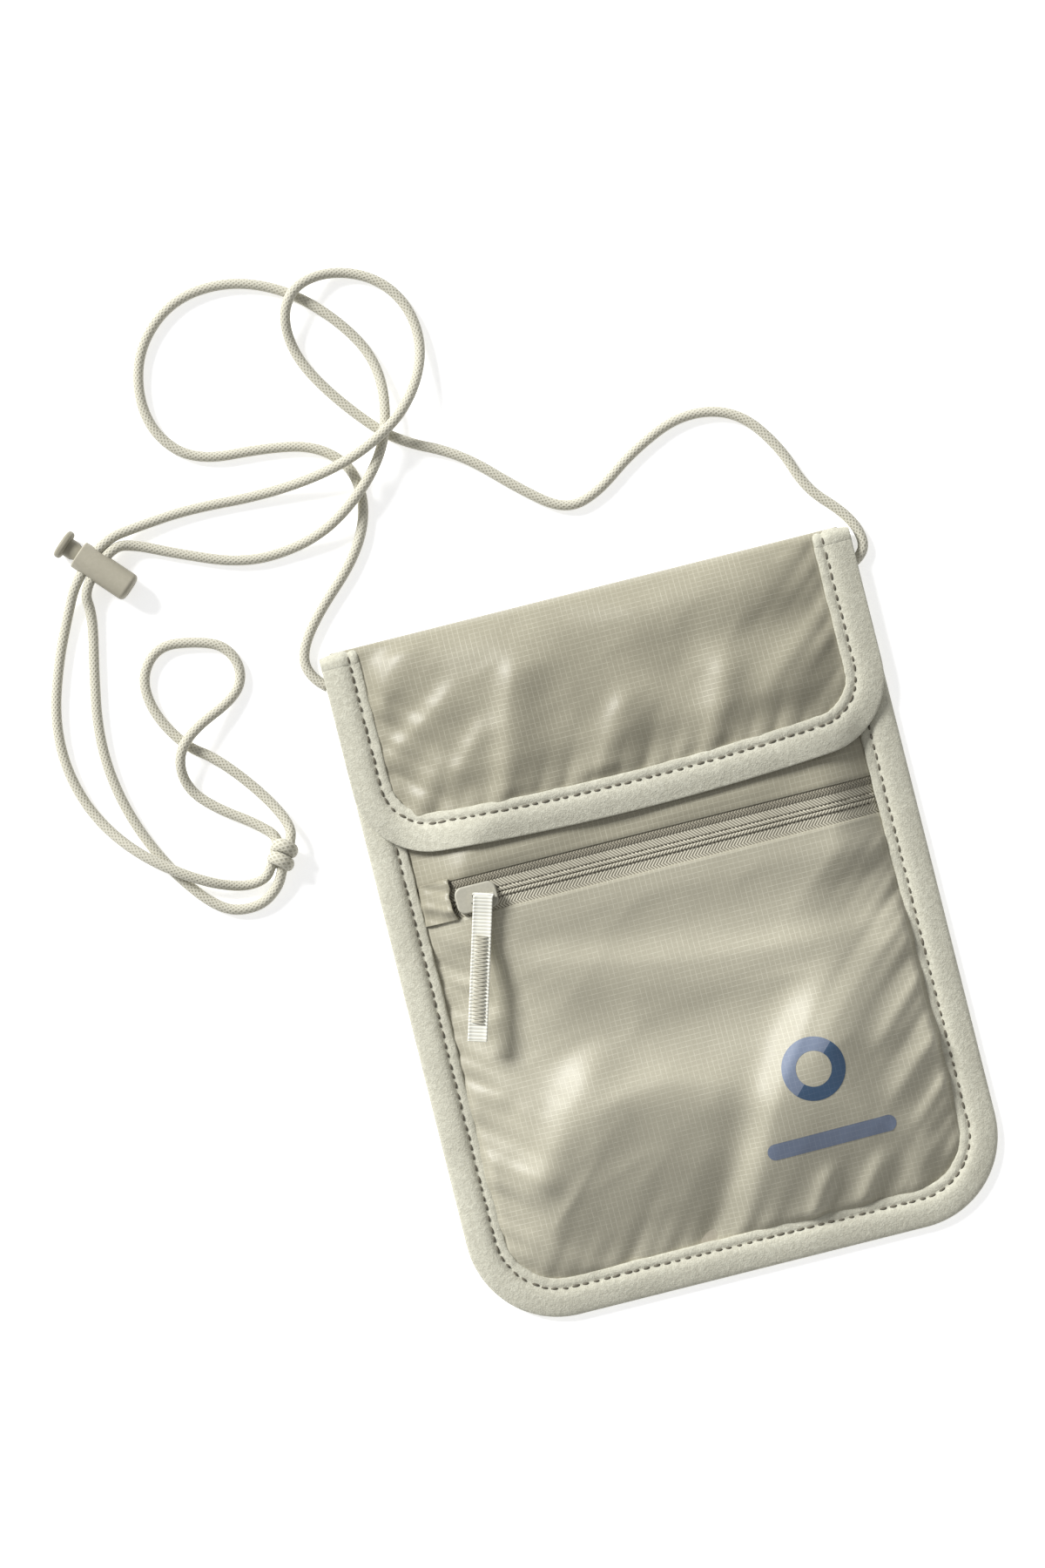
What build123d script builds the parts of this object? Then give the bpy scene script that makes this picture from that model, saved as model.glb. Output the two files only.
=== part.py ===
"""Neck pouch wallet: a flat fabric pouch with a flap, a zipped front pocket and an adjustable neck cord.

The pouch lies on its back. X is its width, +Y points to the fold at its top and +Z is up.
The origin is the middle of the pouch on the surface that it lies on. Millimetres.
"""

import os
from math import atan, cos, degrees, pi, radians, sin, tan

from build123d import *

# Pouch
WIDTH = 140.0
LENGTH = 180.0
CORNER_R = 24.0
HALF_W = WIDTH / 2
HALF_L = LENGTH / 2

# Bound edge: the layers lie flat out to the seam and rise from it to the flat middle of the front
BINDING_W = 9.8
SEAM_INSET = 7.1
RISE_RUN = 9.0
BINDING_FOLD = 1.0
BINDING_ROUND = 0.8
MOUTH_Y = 80.0
BINDING_TOP_Y = 84.0

# Layers from the back to the front: height at the edge and on the flat middle
BACK_Z = (0.4, 0.75)
MIDDLE_EDGE, MIDDLE_TOP = (0.75, 1.1), (4.9, 5.25)
FRONT_EDGE, FRONT_TOP = (1.1, 1.45), (9.35, 9.7)
BODY_BINDING_TOP = (3.0, 10.2)
FLAP_BACK = (3.35, 10.45)
LINING_UNDER = (3.75, 10.75)
LINING_OVER = (4.05, 11.05)
FLAP_OVER = (4.4, 11.4)
FLAP_BINDING_TOP = (5.4, 12.3)

# Flap
FLAP_LENGTH = 58.0
FLAP_CROWN = 2.0
FLAP_CORNER_R = 20.0
FLAP_TOP_Y = 86.0
FOLD_WALL = 0.65
PATCH_W, PATCH_L, PATCH_Y = 54.0, 16.0, 52.0
LOOP_PATCH_Z = (9.7, 10.1)
HOOK_PATCH_Z = (10.35, 10.75)

# Zip
ZIP_Y = 20.4
ZIP_WINDOW = (16.1, 26.2)
TAPE_HALF_W = 10.0
TAPE_LOWER, TAPE_UPPER = (0.7, 8.95), (1.1, 9.35)
TAPE_HALF_LEN = 60.0
ZIP_GAP = 0.6
COIL_W, COIL_H, COIL_HALF_LEN = 2.1, 1.0, 52.0
STOP_X = 52.2
STOP_LEN, STOP_W = 1.6, 4.4
GARAGE_OVER, GARAGE_UNDER = (2.3, 10.55), (1.55, 9.8)
GARAGE_X, GARAGE_Y = (-60.05, -51.2), (15.8, 27.0)

# Slider and its ribbon
SLIDER_X = (-50.9, -40.1)
SLIDER_W = 7.0
PLATE_Z = (9.5, 10.85)
UNDER_PLATE_Z = (6.9, 7.75)
POST_T = 0.3
BAR_R, BAR_Z = 0.45, 12.05
BAR_X = (-46.9, -40.7)
EYE_INNER_R, EYE_OUTER_R = 0.6, 1.05
RIBBON_X = (-46.2, -41.4)
RIBBON_END = ((-51.6, -15.6), (-56.8, -14.7))
RIBBON_T = 1.0

# Cord lock: a barrel that lies on the surface, with a sprung plunger in one end
LOCK_RIM = (-123.09, 130.41)
LOCK_ANGLE = -47.8
BARREL_R, BARREL_L = 3.75, 16.2
CAVITY_R, CAVITY_L = 2.6, 15.2
PLUNGER_R, PLUNGER_L = 2.45, 10.8
HEAD_R, HEAD_L, HEAD_GAP = 3.85, 2.0, 3.4
HOLE_HEIGHT = 3.0
STRAND_U = (3.2, 5.95)
PLUNGER_HOLE = (-1.3, 7.6)
SPRING_R, SPRING_WIRE_R, SPRING_TURNS = 1.85, 0.2, 3.5

# Cord
CORD_R = 1.35
KNOT_CENTRE = (-91.1, 43.1)
KNOT_ANGLE = 59.7
KNOT_R, KNOT_WAIST_R, KNOT_L = 3.7, 3.2, 8.2


def edge_sketch(inset, top):
    """The pouch's plan, drawn in by inset, up to top, with round bottom corners."""
    bottom = -HALF_L + inset
    with BuildSketch() as plan:
        with Locations((0, (top + bottom) / 2)):
            Rectangle(WIDTH - 2 * inset, top - bottom)
        fillet(plan.vertices().group_by(Axis.Y)[0], radius=CORNER_R - inset)
    return plan.sketch


def under(heights, top):
    """Everything below a layer: flat at the edge, rising from the seam to the flat middle."""
    edge_z, top_z = heights
    with BuildPart() as body:
        add(edge_sketch(0, HALF_L + 20))
        extrude(amount=edge_z)
        with BuildSketch(Plane.XY.offset(edge_z)):
            add(edge_sketch(SEAM_INSET, top))
        extrude(amount=top_z - edge_z, taper=degrees(atan(RISE_RUN / (top_z - edge_z))))
    return body.part


def prism(sketch, low=-1.0, high=30.0):
    """A tall upright solid over a plan, to cut a layer with."""
    with BuildPart() as body:
        with BuildSketch(Plane.XY.offset(low)):
            add(sketch)
        extrude(amount=high - low)
    return body.part


def block(x, y, z=(-1.0, 30.0)):
    """An upright box between two x, two y and two z."""
    with BuildPart() as body:
        with BuildSketch(Plane.XY.offset(z[0])):
            with Locations(((x[0] + x[1]) / 2, (y[0] + y[1]) / 2)):
                Rectangle(x[1] - x[0], y[1] - y[0])
        extrude(amount=z[1] - z[0])
    return body.part


def save(part, name):
    """Label a finished piece and write its STEP file."""
    part.label = name
    export_step(part, f"parts/{name}.step")


os.makedirs("parts", exist_ok=True)

OPEN_TOP = HALF_L + 40
WIDE = (-HALF_W - 1, HALF_W + 1)
FRONT_RISE_TOP = MOUTH_Y + RISE_RUN * (MIDDLE_TOP[1] - FRONT_EDGE[1]) / (FRONT_TOP[1] - FRONT_EDGE[1])
inside_binding = prism(edge_sketch(BINDING_FOLD + 0.2, FLAP_TOP_Y))
under_mouth = block(WIDE, (-HALF_L - 1, MOUTH_Y))

# Back panel
with BuildPart() as back_panel:
    with BuildSketch(Plane.XY.offset(BACK_Z[0])):
        add(edge_sketch(BINDING_FOLD + 0.2, FLAP_TOP_Y))
    extrude(amount=BACK_Z[1] - BACK_Z[0])
save(back_panel.part, "back_panel")

# Middle panel, between the main compartment and the zipped pocket
with BuildPart() as middle_panel:
    add(under((MIDDLE_EDGE[1], MIDDLE_TOP[1]), OPEN_TOP))
    add(under((MIDDLE_EDGE[0], MIDDLE_TOP[0]), OPEN_TOP), mode=Mode.SUBTRACT)
    add(inside_binding, mode=Mode.INTERSECT)
    add(under_mouth, mode=Mode.INTERSECT)
save(middle_panel.part, "middle_panel")

# Front panel in two pieces, one on each side of the zip
with BuildPart() as front:
    add(under((FRONT_EDGE[1], FRONT_TOP[1]), FRONT_RISE_TOP))
    add(under((FRONT_EDGE[0], FRONT_TOP[0]), FRONT_RISE_TOP), mode=Mode.SUBTRACT)
    add(inside_binding, mode=Mode.INTERSECT)
    add(under_mouth, mode=Mode.INTERSECT)
    add(under((MIDDLE_EDGE[1], MIDDLE_TOP[1]), OPEN_TOP), mode=Mode.SUBTRACT)

with BuildPart() as front_panel_lower:
    add(front.part)
    add(block(WIDE, (-HALF_L - 1, ZIP_WINDOW[0])), mode=Mode.INTERSECT)
save(front_panel_lower.part, "front_panel_lower")

with BuildPart() as front_panel_upper:
    add(front.part)
    add(block(WIDE, (ZIP_WINDOW[1], MOUTH_Y)), mode=Mode.INTERSECT)
save(front_panel_upper.part, "front_panel_upper")

# Narrow tape that binds the mouth's edge
with BuildPart() as mouth_binding:
    with BuildSketch(Plane.XY.offset(MIDDLE_TOP[0])):
        with Locations((0, MOUTH_Y + 0.6)):
            Rectangle(2 * (HALF_W - SEAM_INSET - RISE_RUN) - 2, 1.2)
    extrude(amount=1.3)
save(mouth_binding.part, "mouth_binding")

# Binding round the body's sides and bottom
with BuildPart() as body_binding:
    with BuildSketch():
        add(edge_sketch(0, BINDING_TOP_Y))
    extrude(amount=BODY_BINDING_TOP[0])
    rim = body_binding.edges().group_by(Axis.Z)[-1] + body_binding.edges().group_by(Axis.Z)[0]
    fillet(rim.filter_by(lambda e: e.center().Y < BINDING_TOP_Y - 0.1), radius=BINDING_ROUND)
    add(
        under(BODY_BINDING_TOP, OPEN_TOP)
        & prism(edge_sketch(SEAM_INSET, BINDING_TOP_Y), BODY_BINDING_TOP[0]),
    )
    add(prism(edge_sketch(BINDING_W, OPEN_TOP)), mode=Mode.SUBTRACT)
    add(
        under((FRONT_EDGE[1], FRONT_TOP[1]), OPEN_TOP)
        & prism(edge_sketch(BINDING_FOLD, OPEN_TOP), BACK_Z[0]),
        mode=Mode.SUBTRACT,
    )
save(body_binding.part, "body_binding")

# Zip: two tapes under the panel edges, each with its coil on the inner side
for side, name in ((-1, "lower"), (1, "upper")):
    inner_y = ZIP_Y + side * ZIP_GAP / 2
    outer_y = ZIP_Y + side * TAPE_HALF_W
    with BuildPart() as tape:
        add(under(TAPE_UPPER, OPEN_TOP))
        add(under(TAPE_LOWER, OPEN_TOP), mode=Mode.SUBTRACT)
        add(
            block((-TAPE_HALF_LEN, TAPE_HALF_LEN), sorted((inner_y, outer_y))),
            mode=Mode.INTERSECT,
        )
    save(tape.part, f"zipper_tape_{name}")
    with BuildPart() as coil:
        with BuildSketch(Plane.XY.offset(TAPE_LOWER[1] - COIL_H)):
            with Locations((0, inner_y + side * COIL_W / 2)):
                Rectangle(2 * COIL_HALF_LEN, COIL_W)
        extrude(amount=COIL_H)
        fillet(coil.edges().filter_by(Axis.X).group_by(Axis.Z)[0], radius=0.45)
    save(coil.part, f"zipper_coil_{name}")

# End stops, clamped round both coils just past the coils' ends
with BuildPart() as zipper_stops:
    with BuildSketch(Plane.XY.offset(TAPE_LOWER[1] - COIL_H - 0.3)):
        with Locations((-STOP_X - STOP_LEN / 2, ZIP_Y), (STOP_X + STOP_LEN / 2, ZIP_Y)):
            RectangleRounded(STOP_LEN, STOP_W, 0.3)
    extrude(amount=COIL_H - 0.5)
save(zipper_stops.part, "zipper_stops")

# Folded fabric tab over the zip's closed end
with BuildPart() as zipper_garage:
    add(under(GARAGE_OVER, OPEN_TOP))
    add(under(GARAGE_UNDER, OPEN_TOP), mode=Mode.SUBTRACT)
    add(block(GARAGE_X, GARAGE_Y), mode=Mode.INTERSECT)
save(zipper_garage.part, "zipper_garage")

# Flap: lining and outer fabric, with the binding round its sides and bottom
FLAP_BOTTOM_Y = HALF_L - FLAP_LENGTH


def flap_sketch(inset, top):
    """The flap's plan, drawn in by inset: round bottom corners and a slightly bowed bottom edge."""
    side_x = HALF_W - inset
    low_y = FLAP_BOTTOM_Y + inset
    corner_r = FLAP_CORNER_R - inset
    with BuildSketch() as plan:
        with BuildLine():
            Line((-side_x, top), (-side_x, low_y + corner_r + FLAP_CROWN))
            Line((-side_x, low_y + corner_r + FLAP_CROWN), (-side_x, low_y + FLAP_CROWN))
            ThreePointArc((-side_x, low_y + FLAP_CROWN), (0, low_y), (side_x, low_y + FLAP_CROWN))
            Line((side_x, low_y + FLAP_CROWN), (side_x, low_y + corner_r + FLAP_CROWN))
            Line((side_x, low_y + corner_r + FLAP_CROWN), (side_x, top))
            Line((side_x, top), (-side_x, top))
        make_face()
        low_corners = plan.vertices().filter_by(lambda v: abs(v.Y - low_y - FLAP_CROWN) < 0.01)
        fillet(low_corners, radius=corner_r)
    return plan.sketch


inside_flap_binding = prism(flap_sketch(BINDING_FOLD + 0.2, FLAP_TOP_Y))

with BuildPart() as flap_lining:
    add(under(LINING_OVER, FLAP_TOP_Y))
    add(under(LINING_UNDER, FLAP_TOP_Y), mode=Mode.SUBTRACT)
    add(inside_flap_binding, mode=Mode.INTERSECT)
save(flap_lining.part, "flap_lining")

with BuildPart() as flap_outer:
    add(under(FLAP_OVER, FLAP_TOP_Y))
    add(under(LINING_OVER, FLAP_TOP_Y), mode=Mode.SUBTRACT)
    add(inside_flap_binding, mode=Mode.INTERSECT)
save(flap_outer.part, "flap_outer")

with BuildPart() as flap_binding:
    add(under(FLAP_BINDING_TOP, FLAP_TOP_Y))
    add(under(FLAP_BACK, FLAP_TOP_Y), mode=Mode.SUBTRACT)
    add(prism(flap_sketch(0, BINDING_TOP_Y)), mode=Mode.INTERSECT)
    add(prism(flap_sketch(BINDING_W, OPEN_TOP)), mode=Mode.SUBTRACT)
    flap_slot = under(FLAP_OVER, FLAP_TOP_Y) - under(LINING_UNDER, FLAP_TOP_Y)
    add(flap_slot & prism(flap_sketch(BINDING_FOLD, OPEN_TOP)), mode=Mode.SUBTRACT)
save(flap_binding.part, "flap_binding")

# Fold at the top, where the back panel turns over into the flap
FOLD_MID_Z = (BACK_Z[0] + FLAP_OVER[0]) / 2
FOLD_R = FOLD_MID_Z - BACK_Z[0]
FOLD_MID_Y = HALF_L - FOLD_R
with BuildPart() as flap_fold:
    with BuildSketch(Plane.YZ.offset(-HALF_W + BINDING_FOLD)):
        with BuildLine():
            Line((FLAP_TOP_Y, FOLD_MID_Z - FOLD_R), (FOLD_MID_Y, FOLD_MID_Z - FOLD_R))
            ThreePointArc(
                (FOLD_MID_Y, FOLD_MID_Z - FOLD_R),
                (FOLD_MID_Y + FOLD_R, FOLD_MID_Z),
                (FOLD_MID_Y, FOLD_MID_Z + FOLD_R),
            )
            Line((FOLD_MID_Y, FOLD_MID_Z + FOLD_R), (FLAP_TOP_Y, FOLD_MID_Z + FOLD_R))
            Line((FLAP_TOP_Y, FOLD_MID_Z + FOLD_R), (FLAP_TOP_Y, FOLD_MID_Z + FOLD_R - FOLD_WALL))
            Line(
                (FLAP_TOP_Y, FOLD_MID_Z + FOLD_R - FOLD_WALL),
                (FOLD_MID_Y, FOLD_MID_Z + FOLD_R - FOLD_WALL),
            )
            ThreePointArc(
                (FOLD_MID_Y, FOLD_MID_Z + FOLD_R - FOLD_WALL),
                (FOLD_MID_Y + FOLD_R - FOLD_WALL, FOLD_MID_Z),
                (FOLD_MID_Y, FOLD_MID_Z - FOLD_R + FOLD_WALL),
            )
            Line(
                (FOLD_MID_Y, FOLD_MID_Z - FOLD_R + FOLD_WALL),
                (FLAP_TOP_Y, FOLD_MID_Z - FOLD_R + FOLD_WALL),
            )
            Line((FLAP_TOP_Y, FOLD_MID_Z - FOLD_R + FOLD_WALL), (FLAP_TOP_Y, FOLD_MID_Z - FOLD_R))
        make_face()
    extrude(amount=WIDTH - 2 * BINDING_FOLD)
save(flap_fold.part, "flap_fold")

# Hook patch under the flap and loop patch on the front
for name, heights in (("loop_patch", LOOP_PATCH_Z), ("flap_hook_patch", HOOK_PATCH_Z)):
    with BuildPart() as patch:
        with BuildSketch(Plane.XY.offset(heights[0])):
            with Locations((0, PATCH_Y)):
                RectangleRounded(PATCH_W, PATCH_L, 1.5)
        extrude(amount=heights[1] - heights[0])
    save(patch.part, name)

# Slider: two plates joined by a thin post that runs between the coils, and a bar for the ribbon
slider_mid_x = (SLIDER_X[0] + SLIDER_X[1]) / 2
slider_len = SLIDER_X[1] - SLIDER_X[0]
with BuildPart() as slider_body:
    with BuildSketch(Plane.XY.offset(PLATE_Z[0])):
        with Locations((slider_mid_x, ZIP_Y)):
            RectangleRounded(slider_len, SLIDER_W, 2.2)
    extrude(amount=PLATE_Z[1] - PLATE_Z[0])
    fillet(slider_body.edges().group_by(Axis.Z)[-1], radius=0.5)
    with BuildSketch(Plane.XY.offset(UNDER_PLATE_Z[0])):
        with Locations((slider_mid_x, ZIP_Y)):
            RectangleRounded(slider_len, SLIDER_W, 2.2)
    extrude(amount=UNDER_PLATE_Z[1] - UNDER_PLATE_Z[0])
    with BuildSketch(Plane.XY.offset(UNDER_PLATE_Z[1])):
        with Locations((SLIDER_X[0] + 2.6, ZIP_Y)):
            Rectangle(2.4, POST_T)
    extrude(amount=PLATE_Z[0] - UNDER_PLATE_Z[1])
    with BuildSketch(Plane.YZ.offset(BAR_X[0])):
        with Locations((ZIP_Y, BAR_Z)):
            Circle(BAR_R)
    extrude(amount=BAR_X[1] - BAR_X[0])
    with BuildSketch(Plane.XY.offset(PLATE_Z[1] - 0.2)):
        with Locations((BAR_X[0], ZIP_Y), (BAR_X[1], ZIP_Y)):
            Rectangle(0.8, 2.0)
    extrude(amount=BAR_Z - PLATE_Z[1] + 0.2 + BAR_R)
save(slider_body.part, "slider_body")

# Ribbon pull: an eye round the slider's bar and a flat doubled strip
with BuildPart() as pull_ribbon:
    with BuildSketch(Plane.XY.offset(BAR_Z - RIBBON_T / 2)):
        Polygon(
            (RIBBON_X[0], ZIP_Y - 0.4),
            (RIBBON_X[1], ZIP_Y - 0.4),
            *RIBBON_END,
            align=None,
        )
    extrude(amount=RIBBON_T)
    with BuildSketch(Plane.YZ.offset(RIBBON_X[0])):
        with Locations((ZIP_Y, BAR_Z)):
            Circle(EYE_OUTER_R)
    extrude(amount=RIBBON_X[1] - RIBBON_X[0])
    with BuildSketch(Plane.YZ.offset(RIBBON_X[0] - 1)):
        with Locations((ZIP_Y, BAR_Z)):
            Circle(EYE_INNER_R)
    extrude(amount=RIBBON_X[1] - RIBBON_X[0] + 2, mode=Mode.SUBTRACT)
save(pull_ribbon.part, "pull_ribbon")

# Cord lock. u runs from the button's end along the barrel, and v along the cord through it
u_dir = Vector(cos(radians(LOCK_ANGLE)), sin(radians(LOCK_ANGLE)), 0)
v_dir = Vector(sin(radians(LOCK_ANGLE)), -cos(radians(LOCK_ANGLE)), 0)
rim_centre = Vector(*LOCK_RIM, BARREL_R)


def across_lock(u):
    """The plane across the barrel at u, facing along it."""
    return Plane(origin=rim_centre + u_dir * u, x_dir=v_dir, z_dir=u_dir)


def lock_hole(low_u, high_u):
    """The slot for two strands, between two places along the barrel."""
    slot_plane = Plane(
        origin=rim_centre + u_dir * (low_u + high_u) / 2 - v_dir * 10, x_dir=u_dir, z_dir=v_dir
    )
    with BuildPart() as hole:
        with BuildSketch(slot_plane):
            SlotOverall(high_u - low_u, HOLE_HEIGHT)
        extrude(amount=20)
    return hole.part


hole_end = HOLE_HEIGHT / 2
with BuildPart() as lock_barrel:
    with BuildSketch(across_lock(0)):
        Circle(BARREL_R)
    extrude(amount=BARREL_L)
    fillet(lock_barrel.edges().filter_by(GeomType.CIRCLE).sort_by_distance(rim_centre)[0], radius=0.4)
    far_centre = rim_centre + u_dir * BARREL_L
    fillet(lock_barrel.edges().filter_by(GeomType.CIRCLE).sort_by_distance(far_centre)[0], radius=1.3)
    with BuildSketch(across_lock(0)):
        Circle(CAVITY_R)
    extrude(amount=CAVITY_L, mode=Mode.SUBTRACT)
    add(lock_hole(STRAND_U[0] - hole_end, STRAND_U[1] + hole_end), mode=Mode.SUBTRACT)
save(lock_barrel.part, "lock_barrel")

with BuildPart() as lock_plunger:
    with BuildSketch(across_lock(-HEAD_GAP - HEAD_L / 2)):
        Circle(PLUNGER_R)
    extrude(amount=PLUNGER_L + HEAD_GAP + HEAD_L / 2)
    with BuildSketch(across_lock(-HEAD_GAP - HEAD_L)):
        Circle(HEAD_R)
    extrude(amount=HEAD_L)
    head_rims = lock_plunger.edges().filter_by(GeomType.CIRCLE).filter_by(lambda e: e.radius > 3.5)
    fillet(head_rims, radius=0.8)
    add(lock_hole(*PLUNGER_HOLE), mode=Mode.SUBTRACT)
save(lock_plunger.part, "lock_plunger")

spring_start = PLUNGER_L + SPRING_WIRE_R + 0.05
spring_end = CAVITY_L - SPRING_WIRE_R - 0.05
with BuildPart() as lock_spring:
    with BuildLine():
        spring_wire = Helix(
            (spring_end - spring_start) / SPRING_TURNS,
            spring_end - spring_start,
            SPRING_R,
            center=rim_centre + u_dir * spring_start,
            direction=u_dir,
        )
    with BuildSketch(Plane(origin=spring_wire @ 0, z_dir=spring_wire % 0)):
        Circle(SPRING_WIRE_R)
    sweep()
save(lock_spring.part, "lock_spring")

# Neck cord. One cord leaves the pouch at its top left, passes the lock, the knot and its loop, and comes
# back through the knot and the lock to the top right. Each stretch is a list of points.
strand_left = rim_centre + u_dir * STRAND_U[1]
strand_right = rim_centre + u_dir * STRAND_U[0]
FLOOR_Z = CORD_R
OVER_Z = 4.35
TOP_Z = 7.35

neck_left_points = [
    (-69.5, 82.0, 1.5),
    (-72.8, 84.6, 1.5),
    (-74.3, 91.0, FLOOR_Z),
    (-68.5, 99.8, FLOOR_Z),
    (-54.5, 112.5, FLOOR_Z),
    (-48.8, 124.0, FLOOR_Z),
    (-49.6, 135.2, FLOOR_Z),
    (-57.5, 142.8, FLOOR_Z),
    (-70.0, 145.3, FLOOR_Z),
    (-87.5, 146.3, FLOOR_Z),
    (-96.3, 154.0, FLOOR_Z),
    (-98.9, 165.5, FLOOR_Z),
    (-95.2, 178.5, FLOOR_Z),
    (-84.5, 187.9, FLOOR_Z),
    (-70.0, 189.4, FLOOR_Z),
    (-56.0, 184.1, FLOOR_Z),
    (-44.5, 173.2, FLOOR_Z),
    (-37.3, 161.0, FLOOR_Z),
    (-37.2, 147.5, OVER_Z),
    (-42.5, 134.3, OVER_Z),
    (-56.0, 122.6, OVER_Z),
    (-68.5, 118.3, FLOOR_Z),
    (-83.0, 118.0, FLOOR_Z),
    (-99.5, 124.9, FLOOR_Z),
    (-108.6, 129.3, 1.6),
    (-114.3, 130.3, BARREL_R),
    tuple(strand_left),
]

neck_right_points = [
    (69.3, 80.2, 1.5),
    (72.5, 81.9, 1.5),
    (72.9, 87.0, FLOOR_Z),
    (69.6, 93.6, FLOOR_Z),
    (61.8, 101.5, FLOOR_Z),
    (58.0, 113.5, FLOOR_Z),
    (49.5, 125.2, FLOOR_Z),
    (35.5, 128.0, FLOOR_Z),
    (21.0, 121.6, FLOOR_Z),
    (9.5, 113.2, FLOOR_Z),
    (0.5, 111.2, FLOOR_Z),
    (-9.5, 119.3, FLOOR_Z),
    (-22.0, 131.8, FLOOR_Z),
    (-36.5, 138.6, FLOOR_Z),
    (-45.0, 147.3, FLOOR_Z),
    (-53.8, 159.5, FLOOR_Z),
    (-57.6, 169.0, FLOOR_Z),
    (-57.2, 178.0, OVER_Z),
    (-52.0, 184.2, OVER_Z),
    (-41.5, 185.2, FLOOR_Z),
    (-30.8, 180.0, FLOOR_Z),
    (-25.0, 170.0, FLOOR_Z),
    (-25.2, 158.0, 2.6),
    (-32.3, 146.2, TOP_Z),
    (-43.5, 139.0, TOP_Z),
    (-57.0, 134.9, 4.5),
    (-74.0, 133.7, FLOOR_Z),
    (-93.0, 134.9, FLOOR_Z),
    (-107.0, 133.7, 1.8),
    (-116.2, 132.3, 3.6),
    tuple(strand_right),
]

tail_left_points = [
    tuple(strand_right),
    (-125.3, 124.1, 3.6),
    (-129.6, 116.4, FLOOR_Z),
    (-135.2, 104.4, FLOOR_Z),
    (-139.6, 90.5, FLOOR_Z),
    (-139.8, 76.5, FLOOR_Z),
    (-135.2, 62.5, FLOOR_Z),
    (-125.5, 50.5, OVER_Z),
    (-112.8, 41.4, OVER_Z),
    (-103.2, 37.4, FLOOR_Z),
    (-96.8, 38.0, 2.2),
    (-94.6, 41.0, 3.4),
]

tail_right_points = [
    tuple(strand_left),
    (-124.3, 121.3, BARREL_R),
    (-123.5, 114.5, FLOOR_Z),
    (-126.8, 100.0, FLOOR_Z),
    (-129.5, 85.5, FLOOR_Z),
    (-129.2, 72.0, FLOOR_Z),
    (-125.6, 57.8, FLOOR_Z),
    (-118.6, 43.6, FLOOR_Z),
    (-109.5, 32.6, FLOOR_Z),
    (-100.3, 31.3, FLOOR_Z),
    (-94.2, 35.2, 2.0),
    (-91.8, 40.2, 3.4),
]

loop_points = [
    (-88.1, 45.8, 4.3),
    (-87.4, 50.2, 3.0),
    (-92.3, 59.4, FLOOR_Z),
    (-101.2, 70.7, FLOOR_Z),
    (-108.9, 76.3, FLOOR_Z),
    (-114.6, 86.2, FLOOR_Z),
    (-115.4, 96.0, FLOOR_Z),
    (-109.3, 102.9, FLOOR_Z),
    (-99.0, 101.4, FLOOR_Z),
    (-92.3, 98.5, FLOOR_Z),
    (-89.7, 91.5, FLOOR_Z),
    (-93.0, 85.2, FLOOR_Z),
    (-106.0, 79.5, OVER_Z),
    (-111.3, 73.4, OVER_Z),
    (-110.8, 65.0, FLOOR_Z),
    (-104.5, 58.5, FLOOR_Z),
    (-96.3, 52.8, 1.6),
    (-90.5, 47.2, 2.9),
]


def corner_radii(points):
    """The arc at each inner point: as large as its two runs allow."""
    found = []
    for before, here, after in zip(points, points[1:], points[2:]):
        run_in = Vector(*here) - Vector(*before)
        run_out = Vector(*after) - Vector(*here)
        half_turn = radians(run_in.get_angle(run_out)) / 2
        found.append(0.45 * min(run_in.length, run_out.length) / tan(half_turn))
    return found


def cord_tube(points, name):
    """One stretch of cord: straight runs joined by tangent arcs."""
    arcs = corner_radii(points)
    with BuildPart() as tube:
        with BuildLine():
            route = FilletPolyline(*points, radius=arcs)
        with BuildSketch(Plane(origin=route @ 0, z_dir=route % 0)):
            Circle(CORD_R)
        sweep()
    filled = tube.part.volume / (pi * CORD_R**2 * route.length)
    print(name, "radii", [round(r, 1) for r in arcs])
    print(name, "length", round(route.length, 1), "volume over section times length", round(filled, 4))
    save(tube.part, name)
    return route.length


cord_length = 0
for name, points in (
    ("cord_neck_left", neck_left_points),
    ("cord_neck_right", neck_right_points),
    ("cord_tail_left", tail_left_points),
    ("cord_tail_right", tail_right_points),
    ("cord_loop", loop_points),
):
    cord_length += cord_tube(points, name)
print("cord outside the knot", round(cord_length, 1))

# Knot: two wraps of the cord side by side, turned about the strands' direction
knot_dir = Vector(cos(radians(KNOT_ANGLE)), sin(radians(KNOT_ANGLE)), 0)
knot_plane = Plane(origin=(*KNOT_CENTRE, KNOT_R), x_dir=knot_dir, z_dir=(-knot_dir.Y, knot_dir.X, 0))
half_knot = KNOT_L / 2
with BuildPart() as cord_knot:
    with BuildSketch(knot_plane):
        with BuildLine():
            Line((-half_knot, 0), (-half_knot, KNOT_WAIST_R - 0.6))
            ThreePointArc(
                (-half_knot, KNOT_WAIST_R - 0.6), (-half_knot / 2, KNOT_R), (0, KNOT_WAIST_R)
            )
            ThreePointArc(
                (0, KNOT_WAIST_R), (half_knot / 2, KNOT_R), (half_knot, KNOT_WAIST_R - 0.6)
            )
            Line((half_knot, KNOT_WAIST_R - 0.6), (half_knot, 0))
            Line((half_knot, 0), (-half_knot, 0))
        make_face()
    revolve(axis=Axis(knot_plane.origin, knot_dir))
save(cord_knot.part, "cord_knot")
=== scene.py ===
"""Looks of a neck pouch wallet: fabric panels, bound edges, zip, ribbon pull, neck cord and cord lock."""

from __future__ import annotations

import logging
import math
from collections.abc import Callable
from dataclasses import dataclass, field
from enum import Enum

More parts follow.
